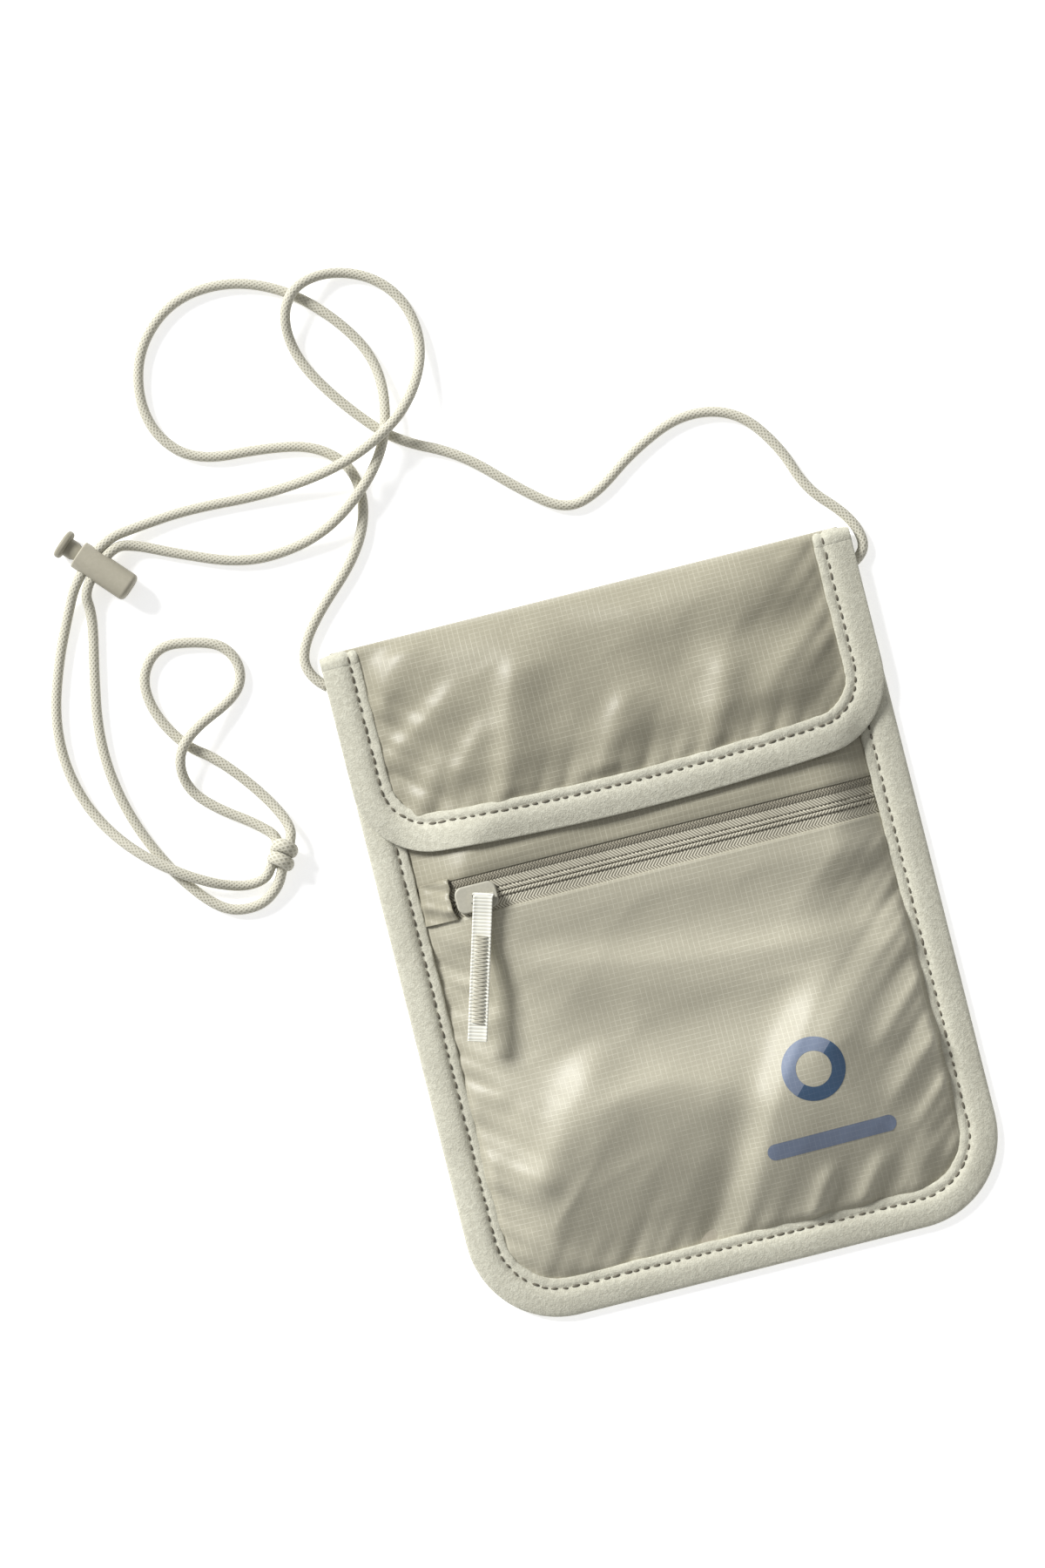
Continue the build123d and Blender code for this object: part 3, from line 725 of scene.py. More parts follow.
class Effects:
    """Shader node groups that more than one finish uses, each built once."""

    def __init__(self) -> None:
        """Builds the ripstop, nap, braid, twill and mottle groups."""
        self.ripstop = self._ripstop()
        self.nap = self._nap()
        self.braid = self._braid()
        self.twill = self._twill()
        self.mottle = self._mottle()

    @staticmethod
    def _ripstop() -> bpy.types.NodeTree:
        """Plain weave with a grid of thicker threads: the mask is the nearer of two line families."""
        nodes, start, end = new_group(
            "ripstop_grid",
            {"Place": (VECTOR, None), "Pitch": (FLOAT, 0.0013), "Line": (FLOAT, 0.2)},
            {"Mask": FLOAT, "Height": FLOAT},
        )
        place_of = nodes.split(start.outputs["Place"])
        masks = []
        for axis in (0, 1):
            cell = nodes.maths("DIVIDE", place_of[axis], start.outputs["Pitch"])
            place = nodes.maths("ABSOLUTE", nodes.maths("SUBTRACT", nodes.maths("FRACT", cell), 0.5))
            masks.append(nodes.ramp(place, nodes.maths("SUBTRACT", 0.5, start.outputs["Line"]), 0.48))
        patch = nodes.noise(start.outputs["Place"], 90.0, 2.0)
        broken = nodes.noise(start.outputs["Place"], 900.0, 1.0)
        lines = nodes.maths(
            "MAXIMUM",
            nodes.maths("MULTIPLY", masks[0], nodes.ramp(patch, 0.35, 0.6, 0.55, 1.0)),
            nodes.maths("MULTIPLY", masks[1], nodes.ramp(patch, 0.4, 0.65, 1.0, 0.45)),
        )
        mask = nodes.maths("MULTIPLY", lines, nodes.ramp(broken, 0.35, 0.6, 0.55, 1.0))
        fine_x = nodes.maths("SINE", nodes.maths("MULTIPLY", place_of[0], 16000.0))
        fine_y = nodes.maths("SINE", nodes.maths("MULTIPLY", place_of[1], 16000.0))
        weave = nodes.maths("MULTIPLY", nodes.maths("MULTIPLY", fine_x, fine_y), 0.12)
        nodes.link(mask, end.inputs["Mask"])
        nodes.link(nodes.maths("ADD", mask, weave), end.inputs["Height"])
        return nodes.tree

    @staticmethod
    def _nap() -> bpy.types.NodeTree:
        """Brushed nap: three sizes of noise, fine, patchy and broad, added together."""
        nodes, start, end = new_group(
            "brushed_nap",
            {"Place": (VECTOR, None), "Size": (FLOAT, 1.0)},
            {"Shade": FLOAT, "Height": FLOAT},
        )
        stretched = nodes.scaled(start.outputs["Place"], start.outputs["Size"])
        fine = nodes.ramp(nodes.noise(stretched, 2300.0, 3.0, 0.75), 0.36, 0.64)
        patch = nodes.ramp(nodes.noise(stretched, 900.0, 2.0, 0.6), 0.32, 0.68)
        broad = nodes.noise(stretched, 60.0, 2.0, 0.5)
        shade = nodes.maths(
            "ADD", nodes.maths("MULTIPLY", fine, 0.45), nodes.maths("MULTIPLY", patch, 0.42)
        )
        shade = nodes.maths("ADD", shade, nodes.maths("MULTIPLY", broad, 0.13))
        nodes.link(shade, end.inputs["Shade"])
        nodes.link(
            nodes.maths("ADD", nodes.maths("MULTIPLY", fine, 0.6), nodes.maths("MULTIPLY", patch, 0.6)),
            end.inputs["Height"],
        )
        return nodes.tree

    @staticmethod
    def _braid() -> bpy.types.NodeTree:
        """Round braid on a UV of (around, along): the larger of two crossing families of strands."""
        nodes, start, end = new_group(
            "round_braid",
            {"Place": (VECTOR, None), "Strands": (FLOAT, 8.0), "Rate": (FLOAT, 1.0)},
            {"Gap": FLOAT, "Height": FLOAT},
        )
        place_of = nodes.split(start.outputs["Place"])
        around = nodes.maths("MULTIPLY", place_of[0], start.outputs["Strands"])
        along = nodes.maths("MULTIPLY", place_of[1], start.outputs["Rate"])
        one = nodes.maths(
            "ABSOLUTE",
            nodes.maths("SINE", nodes.maths("MULTIPLY", nodes.maths("ADD", around, along), math.pi)),
        )
        two = nodes.maths(
            "ABSOLUTE",
            nodes.maths("SINE", nodes.maths("MULTIPLY", nodes.maths("SUBTRACT", around, along), math.pi)),
        )
        height = nodes.maths("MAXIMUM", one, two)
        nodes.link(nodes.ramp(height, 0.95, 0.72), end.inputs["Gap"])
        nodes.link(height, end.inputs["Height"])
        return nodes.tree

    @staticmethod
    def _twill() -> bpy.types.NodeTree:
        """Herringbone tape: ribs that slant one way and then the other in bands across Y."""
        nodes, start, end = new_group(
            "herringbone",
            {"Place": (VECTOR, None), "Rib": (FLOAT, 0.0007), "Band": (FLOAT, 0.0011)},
            {"Shade": FLOAT, "Height": FLOAT},
        )
        place_of = nodes.split(start.outputs["Place"])
        zig = nodes.maths("PINGPONG", place_of[1], start.outputs["Band"])
        lean = nodes.maths("ADD", place_of[0], nodes.maths("MULTIPLY", zig, 0.9))
        wave = nodes.maths(
            "SINE",
            nodes.maths("MULTIPLY", nodes.maths("DIVIDE", lean, start.outputs["Rib"]), 2.0 * math.pi),
        )
        height = nodes.maths("MULTIPLY_ADD", wave, 0.5, 0.5)
        nodes.link(height, end.inputs["Height"])
        nodes.link(nodes.ramp(height, 0.1, 0.8), end.inputs["Shade"])
        return nodes.tree

    @staticmethod
    def _mottle() -> bpy.types.NodeTree:
        """Slow change of tone over a piece: broad noise and a little fine noise."""
        nodes, start, end = new_group(
            "mottle", {"Place": (VECTOR, None), "Scale": (FLOAT, 1.0)}, {"Shade": FLOAT}
        )
        scaled = nodes.scaled(start.outputs["Place"], start.outputs["Scale"])
        broad = nodes.noise(scaled, 45.0, 3.0)
        fine = nodes.noise(scaled, 700.0, 2.0)
        nodes.link(
            nodes.maths("ADD", nodes.maths("MULTIPLY", broad, 0.7), nodes.maths("MULTIPLY", fine, 0.3)),
            end.inputs["Shade"],
        )
        return nodes.tree


class Pattern(Enum):
    """Which surface effect a finish carries."""

    RIPSTOP = "ripstop"
    NAP = "nap"
    BRAID = "braid"
    TWILL = "twill"
    RIB = "rib"
    PLAIN = "plain"
    HOOK = "hook"


@dataclass(frozen=True)
class Finish:
    """A finish: its colours, gloss and pattern, and the material made from them."""

    name: str
    base: Colour
    accent: Colour
    pattern: Pattern
    roughness: float = 0.6
    sheen: float = 0.0
    bump: float = 0.3
    depth: float = 0.00008
    on_uv: bool = True
    metallic: float = 0.0
    values: dict[str, float] = field(default_factory=dict)

    def build(self, effects: Effects) -> bpy.types.Material:
        """Makes the material.

        Args:
            effects: The shared node groups.

        Returns:
            The material.
        """
        material = bpy.data.materials.new(self.name)
        material.use_nodes = True
        nodes = Nodes(material.node_tree)
        shader = material.node_tree.nodes["Principled BSDF"]
        coordinates = nodes.add("ShaderNodeTexCoord")
        place = coordinates.outputs["UV" if self.on_uv else "Object"]
        solid = coordinates.outputs["Object"]
        tone = nodes.add("ShaderNodeGroup", node_tree=effects.mottle)
        nodes.link(solid, tone.inputs["Place"])
        shade, height = self._pattern(nodes, effects, place)
        colour = nodes.mix(shade, (*self.base, 1.0), (*self.accent, 1.0))
        deep = tuple(0.86 * c for c in self.base)
        varied = nodes.mix(nodes.ramp(tone.outputs["Shade"], 0.62, 0.36, 0.0, 0.35), colour, (*deep, 1.0))
        nodes.link(varied, shader.inputs["Base Color"])
        rough = nodes.ramp(tone.outputs["Shade"], 0.3, 0.7, self.roughness - 0.05, self.roughness + 0.06)
        nodes.link(rough, shader.inputs["Roughness"])
        shader.inputs["Metallic"].default_value = self.metallic
        shader.inputs["Specular IOR Level"].default_value = 0.35
        shader.inputs["Sheen Weight"].default_value = self.sheen
        shader.inputs["Sheen Roughness"].default_value = 0.45
        bump = nodes.add("ShaderNodeBump")
        bump.inputs["Strength"].default_value = self.bump
        bump.inputs["Distance"].default_value = self.depth
        nodes.link(height, bump.inputs["Height"])
        nodes.link(bump.outputs[0], shader.inputs["Normal"])
        return material

    def _pattern(
        self, nodes: Nodes, effects: Effects, place: bpy.types.NodeSocket
    ) -> tuple[bpy.types.NodeSocket, bpy.types.NodeSocket]:
        """The pattern's colour mask and height.

        Args:
            nodes: The material's nodes.
            effects: The shared node groups.
            place: The coordinates that the pattern follows.

        Returns:
            The mask's socket and the height's socket.
        """
        shared = {
            Pattern.RIPSTOP: (effects.ripstop, "Mask"),
            Pattern.NAP: (effects.nap, "Shade"),
            Pattern.BRAID: (effects.braid, "Gap"),
            Pattern.TWILL: (effects.twill, "Shade"),
            Pattern.HOOK: (effects.nap, "Shade"),
        }
        if self.pattern in shared:
            tree, mask = shared[self.pattern]
            group = nodes.add("ShaderNodeGroup", node_tree=tree)
            nodes.link(place, group.inputs["Place"])
            for label, value in self.values.items():
                group.inputs[label].default_value = value
            return group.outputs[mask], group.outputs["Height"]
        if self.pattern is Pattern.RIB:
            place_of = nodes.split(place)
            wave = nodes.maths(
                "SINE", nodes.maths("MULTIPLY", place_of[1], 2.0 * math.pi / self.values["Pitch"])
            )
            ribs = nodes.maths("MULTIPLY_ADD", wave, 0.5, 0.5)
            return nodes.ramp(ribs, 0.45, 0.0), ribs
        grain = nodes.noise(place, 1400.0, 2.0)
        return nodes.ramp(grain, 0.35, 0.75, 0.0, 0.5), grain


class Workshop:
    """Makes each finish once and hands out its material."""

    def __init__(self) -> None:
        """Builds the shared effects and an empty store."""
        self.effects = Effects()
        self.store: dict[str, bpy.types.Material] = {}

    def dress(self, piece: bpy.types.Object, finish: Finish, slot: str | None = None) -> None:
        """Puts a finish on a piece.

        Args:
            piece: The piece.
            finish: Its finish.
            slot: Not used.
        """
        if finish.name not in self.store:
            self.store[finish.name] = finish.build(self.effects)
        piece.data.materials.clear()
        piece.data.materials.append(self.store[finish.name])


RIPSTOP = Finish(
    "khaki_ripstop", (0.385, 0.364, 0.282), (0.51, 0.49, 0.395), Pattern.RIPSTOP, 0.44, 0.1, 0.3, 0.00005,
    values={"Pitch": 0.00135, "Line": 0.12},
)
# A darker copy of the khaki ripstop: painted shade on the flap, on the front strip above the zip and on the
# zip's end tab.
SHADED_RIPSTOP = Finish(
    "shaded_ripstop", (0.312, 0.292, 0.219), (0.43, 0.41, 0.32), Pattern.RIPSTOP, 0.42, 0.1, 0.3, 0.00005,
    values={"Pitch": 0.00135, "Line": 0.12},
)
LINING = Finish(
    "khaki_lining", (0.36, 0.33, 0.26), (0.42, 0.39, 0.31), Pattern.RIPSTOP, 0.5, 0.1, 0.3, 0.00004,
    values={"Pitch": 0.0012, "Line": 0.14},
)
SUEDE = Finish(
    "brushed_binding", (0.45, 0.435, 0.35), (0.64, 0.63, 0.525), Pattern.NAP, 0.88, 0.3, 0.7, 0.00012,
    on_uv=False,
)
TAPE = Finish(
    "herringbone_tape", (0.24, 0.22, 0.165), (0.62, 0.59, 0.48), Pattern.TWILL, 0.75, 0.15, 0.8, 0.00018,
    values={"Rib": 0.00085, "Band": 0.0032},
)
# Dark twill for a strip along the upper tape: painted shadow under the edge of the fabric above the zip.
SHADE_TAPE = Finish(
    "painted_shadow_twill", (0.13, 0.118, 0.088), (0.33, 0.305, 0.235), Pattern.TWILL, 0.8, 0.15, 0.8, 0.00018,
    values={"Rib": 0.0008, "Band": 0.0007},
)
COIL = Finish(
    "moulded_coil", (0.33, 0.31, 0.25), (0.4, 0.38, 0.3), Pattern.PLAIN, 0.45, on_uv=False, bump=0.1
)
PAINT = Finish(
    "slider_paint", (0.42, 0.405, 0.335), (0.48, 0.46, 0.385), Pattern.PLAIN, 0.38, bump=0.06, on_uv=False
)
GROSGRAIN = Finish(
    "grosgrain", (0.86, 0.86, 0.78), (0.50, 0.48, 0.39), Pattern.RIB, 0.7, 0.2, 0.6, 0.00012,
    values={"Pitch": 0.0009},
)
# Stitches on the bindings: their dark colour is mostly painted shade in the stitch holes.
THREAD = Finish(
    "seam_thread_painted_shade", (0.12, 0.108, 0.08), (0.21, 0.19, 0.145), Pattern.PLAIN, 0.7, 0.1, on_uv=False
)
DARK_THREAD = Finish(
    "shaded_thread", (0.06, 0.054, 0.04), (0.1, 0.09, 0.07), Pattern.PLAIN, 0.8, on_uv=False
)
PALE_THREAD = Finish(
    "pale_thread", (0.50, 0.48, 0.39), (0.56, 0.54, 0.45), Pattern.PLAIN, 0.7, 0.1, on_uv=False
)
BRAID = Finish(
    "round_braid_cord", (0.60, 0.58, 0.485), (0.42, 0.40, 0.315), Pattern.BRAID, 0.72, 0.25, 0.8, 0.00018,
    values={"Strands": 8.0, "Rate": 1.4},
)
LOCK = Finish(
    "lock_moulding", (0.40, 0.375, 0.295), (0.44, 0.41, 0.33), Pattern.PLAIN, 0.5, bump=0.08, on_uv=False
)
BUTTON = Finish(
    "button_moulding", (0.30, 0.28, 0.215), (0.34, 0.32, 0.25), Pattern.PLAIN, 0.5, bump=0.08, on_uv=False
)
WIRE = Finish(
    "spring_wire", (0.55, 0.55, 0.56), (0.6, 0.6, 0.6), Pattern.PLAIN, 0.3, bump=0.03, metallic=1.0,
    on_uv=False,
)
HOOK = Finish(
    "hook_and_loop", (0.30, 0.28, 0.21), (0.42, 0.4, 0.31), Pattern.HOOK, 0.9, 0.3, 1.0, 0.0004, on_uv=False
)
PRINT_PALE = Finish(
    "print_slate", (0.16, 0.195, 0.27), (0.20, 0.235, 0.31), Pattern.RIPSTOP, 0.5, bump=0.1, depth=0.00003,
    values={"Pitch": 0.00135, "Line": 0.1},
)
PRINT_DEEP = Finish(
    "print_navy", (0.045, 0.085, 0.15), (0.07, 0.11, 0.18), Pattern.RIPSTOP, 0.5, bump=0.1, depth=0.00003,
    values={"Pitch": 0.00135, "Line": 0.1},
)


# ---------------------------------------------------------------- studio


@dataclass(frozen=True)
class Studio:
    """Camera, floor and lights. The camera looks straight down, turned so that the pouch lies askew."""

    centre: tuple[float, float] = (-0.0271, 0.0456)
    turn: float = math.radians(-14.1)
    view_length: float = 0.4027
    height: float = 1.4

    def camera(self) -> None:
        """Places the camera and makes it the scene's own."""
        data = bpy.data.cameras.new("camera")
        data.sensor_width = 36.0
        data.lens = data.sensor_width * self.height / self.view_length
        camera = bpy.data.objects.new("camera", data)
        camera.location = (*self.centre, self.height)
        camera.rotation_euler = (0.0, 0.0, self.turn)
        bpy.context.scene.collection.objects.link(camera)
        bpy.context.scene.camera = camera

    def light(self) -> None:
        """A soft key from the upper left and a pale world."""
        right = np.array([math.cos(self.turn), math.sin(self.turn)])
        above = np.array([-right[1], right[0]])
        toward = -0.79 * right + 0.61 * above
        elevation = math.radians(30.0)
        source = Vector((*(toward * math.cos(elevation)), math.sin(elevation)))
        key = bpy.data.lights.new("key", "SUN")
        key.energy = 4.8
        key.angle = math.radians(20.0)
        lamp = bpy.data.objects.new("key", key)
        lamp.rotation_euler = source.to_track_quat("Z", "Y").to_euler()
        bpy.context.scene.collection.objects.link(lamp)
        world = bpy.data.worlds.new("pale_room")
        world.use_nodes = True
        background = world.node_tree.nodes["Background"]
        background.inputs["Color"].default_value = (1.0, 1.0, 1.0, 1.0)
        background.inputs["Strength"].default_value = 0.41
        bpy.context.scene.world = world
        bpy.context.scene.view_settings.view_transform = "Standard"

    def floor(self) -> None:
        """A wide pale floor just under the pouch."""
        half, z = 1500.0, -0.05
        corners = np.array([[-half, -half, z], [half, -half, z], [half, half, z], [-half, half, z]])
        ground = make_piece("floor", corners, [[0, 1, 2, 3]])
        material = bpy.data.materials.new("pale_floor")
        material.use_nodes = True
        shader = material.node_tree.nodes["Principled BSDF"]
        shader.inputs["Base Color"].default_value = (0.93, 0.93, 0.93, 1.0)
        shader.inputs["Roughness"].default_value = 0.9
        shader.inputs["Specular IOR Level"].default_value = 0.1
        shader.inputs["Emission Color"].default_value = (1.0, 1.0, 1.0, 1.0)
        shader.inputs["Emission Strength"].default_value = 0.5
        ground.data.materials.append(material)


# ---------------------------------------------------------------- cords


def spline_path(name: str, route: tuple[Point, ...], step: float) -> Array:
    """Points read from an open NURBS spline with the route's points as its control points.

    Args:
        name: Name of the short-lived curve.
        route: Control points in metres.
        step: Spacing of the points that come back, in millimetres.

    Returns:
        Evenly spaced points in millimetres.
    """
    curve = bpy.data.curves.new(name, "CURVE")
    curve.dimensions = "3D"
    curve.resolution_u = 16
    spline = curve.splines.new("NURBS")
    spline.points.add(len(route) - 1)
    spline.points.foreach_set("co", np.c_[np.array(route), np.ones(len(route))].ravel())
    spline.order_u = 3
    spline.use_endpoint_u = True
    carrier = bpy.data.objects.new(name, curve)
    bpy.context.scene.collection.objects.link(carrier)
    bpy.context.view_layer.update()
    mesh = bpy.data.meshes.new_from_object(carrier)
    points = np.empty(len(mesh.vertices) * 3)
    mesh.vertices.foreach_get("co", points)
    points = points.reshape(-1, 3) / MM
    bpy.data.objects.remove(carrier)
    bpy.data.curves.remove(curve)
    bpy.data.meshes.remove(mesh)
    run = run_along(points)
    stations = np.linspace(0.0, run[-1], max(int(run[-1] / step), 8))
    return np.stack([np.interp(stations, run, points[:, axis]) for axis in range(3)], -1)


@dataclass(frozen=True)
class CordRun:
    """One free stretch of the neck cord: its route, the frame nodes that it replaces, and its size."""

    name: str
    route: tuple[Point, ...]
    replaces: tuple[str, ...]
    bend_start: Point
    bend_end: Point
    far_end: str = "object"
    diameter: float = 2.7
    step: float = 0.8

    def build(self, workshop: Workshop, companions: list[bpy.types.Object]) -> bpy.types.Object:
        """Args:
            workshop: The finishes.
            companions: Not used.

        Returns:
            The cord's piece.
        """
        path = spline_path(self.name + "_line", self.route, self.step)
        radius = self.diameter / 2.0
        tube = sweep(self.name, path, (radius, radius * 0.96), 16, uv_length=1.9)
        workshop.dress(tube, BRAID, "cord")
        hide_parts(*self.replaces)
        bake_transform(tube)
        return tube


@dataclass(frozen=True)
class Knot:
    """Two wraps of the cord side by side round the strands, each a flattened turn."""

    centre: Point = (-91.1, 43.1, 3.75)
    heading: float = math.radians(59.7)
    turn_radius: float = 2.35
    half_width: float = 1.75
    half_height: float = 1.3
    spread: float = 3.7

    def build(self, workshop: Workshop) -> bpy.types.Object:
        """A helix of 2.3 turns whose pitch eases from wrap to wrap, with a flat oval section.

        Args:
            workshop: The finishes.

        Returns:
            The knot's piece.
        """
        turn = np.linspace(-0.15, 2.15, 150)
        angle = 2.0 * np.pi * turn - 0.9
        axis = np.array([math.cos(self.heading), math.sin(self.heading), 0.0])
        side = np.array([-axis[1], axis[0], 0.0])
        out = side * np.cos(angle)[:, None] + np.array([0.0, 0.0, 1.0]) * np.sin(angle)[:, None]
        shift = self.spread * (ease((turn - 0.55) / 0.9) - 0.5) + 0.55 * np.sin(angle + 0.6)
        inward = 1.0 - 0.55 * ease((-turn + 0.02) / 0.15) - 0.55 * ease((turn - 1.98) / 0.15)
        path = np.array(self.centre) + axis * shift[:, None] + out * (self.turn_radius * inward)[:, None]
        wraps = sweep("knot_wraps", path, (self.half_width, self.half_height), 16, up=out, uv_length=1.9)
        workshop.dress(wraps, BRAID, "cord")
        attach(wraps, "pouch")
        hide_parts("cord_knot")
        return wraps


NECK_LEFT: tuple[Point, ...] = (
    (-0.0695, 0.0820, 0.0015), (-0.0728, 0.0846, 0.0015), (-0.0743, 0.0910, 0.00135),
    (-0.0685, 0.0998, 0.00135), (-0.0545, 0.1125, 0.00135), (-0.0488, 0.1240, 0.00135),
    (-0.0496, 0.1352, 0.00135), (-0.0575, 0.1428, 0.00135), (-0.0700, 0.1453, 0.00135),
    (-0.0875, 0.1463, 0.00135), (-0.0963, 0.1540, 0.00135), (-0.0989, 0.1655, 0.00135),
    (-0.0952, 0.1785, 0.00135), (-0.0845, 0.1879, 0.00135), (-0.0700, 0.1894, 0.00135),
    (-0.0560, 0.1841, 0.00135), (-0.0445, 0.1732, 0.00135), (-0.0373, 0.1610, 0.00135),
    (-0.0372, 0.1475, 0.00435), (-0.0425, 0.1343, 0.00435), (-0.0560, 0.1226, 0.00435),
    (-0.0685, 0.1183, 0.00135), (-0.0830, 0.1180, 0.00135), (-0.0995, 0.1249, 0.00135),
    (-0.1086, 0.1293, 0.0016), (-0.1143, 0.1303, 0.00375), (-0.1191, 0.1260, 0.00375),
)
NECK_RIGHT: tuple[Point, ...] = (
    (0.0693, 0.0802, 0.0015), (0.0725, 0.0819, 0.0015), (0.0729, 0.0870, 0.00135),
    (0.0696, 0.0936, 0.00135), (0.0618, 0.1015, 0.00135), (0.0580, 0.1135, 0.00135),
    (0.0495, 0.1252, 0.00135), (0.0355, 0.1280, 0.00135), (0.0210, 0.1216, 0.00135),
    (0.0095, 0.1132, 0.00135), (0.0005, 0.1112, 0.00135), (-0.0095, 0.1193, 0.00135),
    (-0.0220, 0.1318, 0.00135), (-0.0365, 0.1386, 0.00135), (-0.0450, 0.1473, 0.00135),
    (-0.0538, 0.1595, 0.00135), (-0.0576, 0.1690, 0.00135), (-0.0572, 0.1780, 0.00435),
    (-0.0520, 0.1842, 0.00435), (-0.0415, 0.1852, 0.00135), (-0.0308, 0.1800, 0.00135),
    (-0.0250, 0.1700, 0.00135), (-0.0252, 0.1580, 0.0026), (-0.0323, 0.1462, 0.00735),
    (-0.0435, 0.1390, 0.00735), (-0.0570, 0.1349, 0.0045), (-0.0740, 0.1337, 0.00135),
    (-0.0930, 0.1349, 0.00135), (-0.1070, 0.1337, 0.0018), (-0.1162, 0.1323, 0.0036),
    (-0.1209, 0.1280, 0.00375),
)
TAIL: tuple[Point, ...] = (
    (-0.1191, 0.1260, 0.00375), (-0.1243, 0.1213, 0.00375), (-0.1235, 0.1145, 0.00135),
    (-0.1268, 0.1000, 0.00135), (-0.1295, 0.0855, 0.00135), (-0.1292, 0.0720, 0.00135),
    (-0.1256, 0.0578, 0.00135), (-0.1186, 0.0436, 0.00135), (-0.1095, 0.0326, 0.00135),
    (-0.1003, 0.0313, 0.00135), (-0.0942, 0.0352, 0.0020), (-0.0918, 0.0402, 0.0034),
    (-0.0881, 0.0458, 0.0043), (-0.0874, 0.0502, 0.0030), (-0.0923, 0.0594, 0.00135),
    (-0.1012, 0.0707, 0.00135), (-0.1089, 0.0763, 0.00135), (-0.1146, 0.0862, 0.00135),
    (-0.1154, 0.0960, 0.00135), (-0.1093, 0.1029, 0.00135), (-0.0990, 0.1014, 0.00135),
    (-0.0923, 0.0985, 0.00135), (-0.0897, 0.0915, 0.00135), (-0.0930, 0.0852, 0.00135),
    (-0.1060, 0.0795, 0.00435), (-0.1113, 0.0734, 0.00435), (-0.1108, 0.0650, 0.00135),
    (-0.1045, 0.0585, 0.00135), (-0.0963, 0.0528, 0.0016), (-0.0905, 0.0472, 0.0029),
    (-0.0946, 0.0410, 0.0034), (-0.0968, 0.0380, 0.0022), (-0.1032, 0.0374, 0.00135),
    (-0.1128, 0.0414, 0.00435), (-0.1255, 0.0505, 0.00435), (-0.1352, 0.0625, 0.00135),
    (-0.1398, 0.0765, 0.00135), (-0.1396, 0.0905, 0.00135), (-0.1352, 0.1044, 0.00135),
    (-0.1296, 0.1164, 0.00135), (-0.1253, 0.1241, 0.0036), (-0.1209, 0.1280, 0.00375),
)


class NeckCord:
    """The neck cord: two stretches from the pouch to the lock, and one through the knot and its loop."""

    def __init__(self, workshop: Workshop, nodes: dict[str, bpy.types.Object]) -> None:
        """Keeps the finishes and the frame's nodes."""
        self.workshop = workshop
        self.nodes = nodes

    def build(self) -> list[bpy.types.Object]:
        """Makes the knot and the three stretches.

        Returns:
            The pieces.
        """
        knot = Knot().build(self.workshop)
        neck_bend = {"bend_start": (-0.0923, 0.1347, 0.0), "bend_end": (-0.1153, 0.1298, 0.0)}
        tail_bend = {"bend_start": (-0.1134, 0.1012, 0.0), "bend_end": (-0.1221, 0.1219, 0.0)}
        left = CordRun("neck_cord_left", NECK_LEFT, ("cord_neck_left",), **neck_bend)
        right = CordRun("neck_cord_right", NECK_RIGHT, ("cord_neck_right",), **neck_bend)
        tail = CordRun("tail_cord", TAIL, ("cord_tail_left", "cord_tail_right", "cord_loop"), **tail_bend)
        lock = [self.nodes["lock_barrel"], self.nodes["lock_plunger"], self.nodes["lock_spring"]]
        return [
            left.build(self.workshop, []),
            right.build(self.workshop, lock),
            tail.build(self.workshop, [knot]),
            knot,
        ]


# ---------------------------------------------------------------- bindings and seams


@dataclass(frozen=True)
class Edge:
    """A bound edge: a skeleton line and outward directions. A place at some inset lies on
    skeleton + direction * (corner - inset), so that round corners need no special case."""

    skeleton: Array
    outward: Array
    corner: float

    @staticmethod
    def around(
        form: PouchForm, corner: float, low: float, top: float, crown: float, step: float = 1.3
    ) -> Edge:
        """The edge down the left side, along the bottom and up the right side.

        Args:
            form: The pouch's sizes.
            corner: Bottom corner radius.
            low: Lowest place of the outline at the sides.
            top: Where the edge starts and ends.
            crown: How far the bottom edge bows down in its middle.
            step: Spacing of the stations.

        Returns:
            The edge.
        """
        half = form.half_width - corner
        base = low + corner
        lean = math.atan(2.0 * crown / half)
        side = np.arange(top, base, -step)
        turn = np.linspace(math.pi, 1.5 * math.pi - lean, int(corner * 1.5 / step), endpoint=False)
        bottom = np.linspace(-half, half, int(2.0 * half / step))
        left_skeleton = np.concatenate(
            [
                np.stack([np.full_like(side, -half), side], -1),
                np.tile([-half, base], (len(turn), 1)),
            ]
        )
        left_outward = np.concatenate(
            [np.tile([-1.0, 0.0], (len(side), 1)), np.stack([np.cos(turn), np.sin(turn)], -1)]
        )
        slope = 2.0 * crown * bottom / half**2
        middle = np.stack([bottom, base - crown * (1.0 - (bottom / half) ** 2)], -1)
        down = unit(np.stack([slope, -np.ones_like(slope)], -1))
        mirror = np.array([-1.0, 1.0])
        skeleton = np.concatenate([left_skeleton, middle, left_skeleton[::-1] * mirror])
        outward = np.concatenate([left_outward, down, left_outward[::-1] * mirror])
        return Edge(skeleton, outward, corner)

    def at(self, inset: Array | float) -> Array:
        """Places at an inset from the outline.

        Args:
            inset: One inset, or one for each station.

        Returns:
            Stations x 2 places in millimetres.
        """
        return self.skeleton + self.outward * (self.corner - np.asarray(inset))[..., None]

    def run(self, inset: float) -> Array:
        """Length along the edge at an inset.

        Args:
            inset: The inset.

        Returns:
            The running length at each station.
        """
        return run_along(self.at(inset))


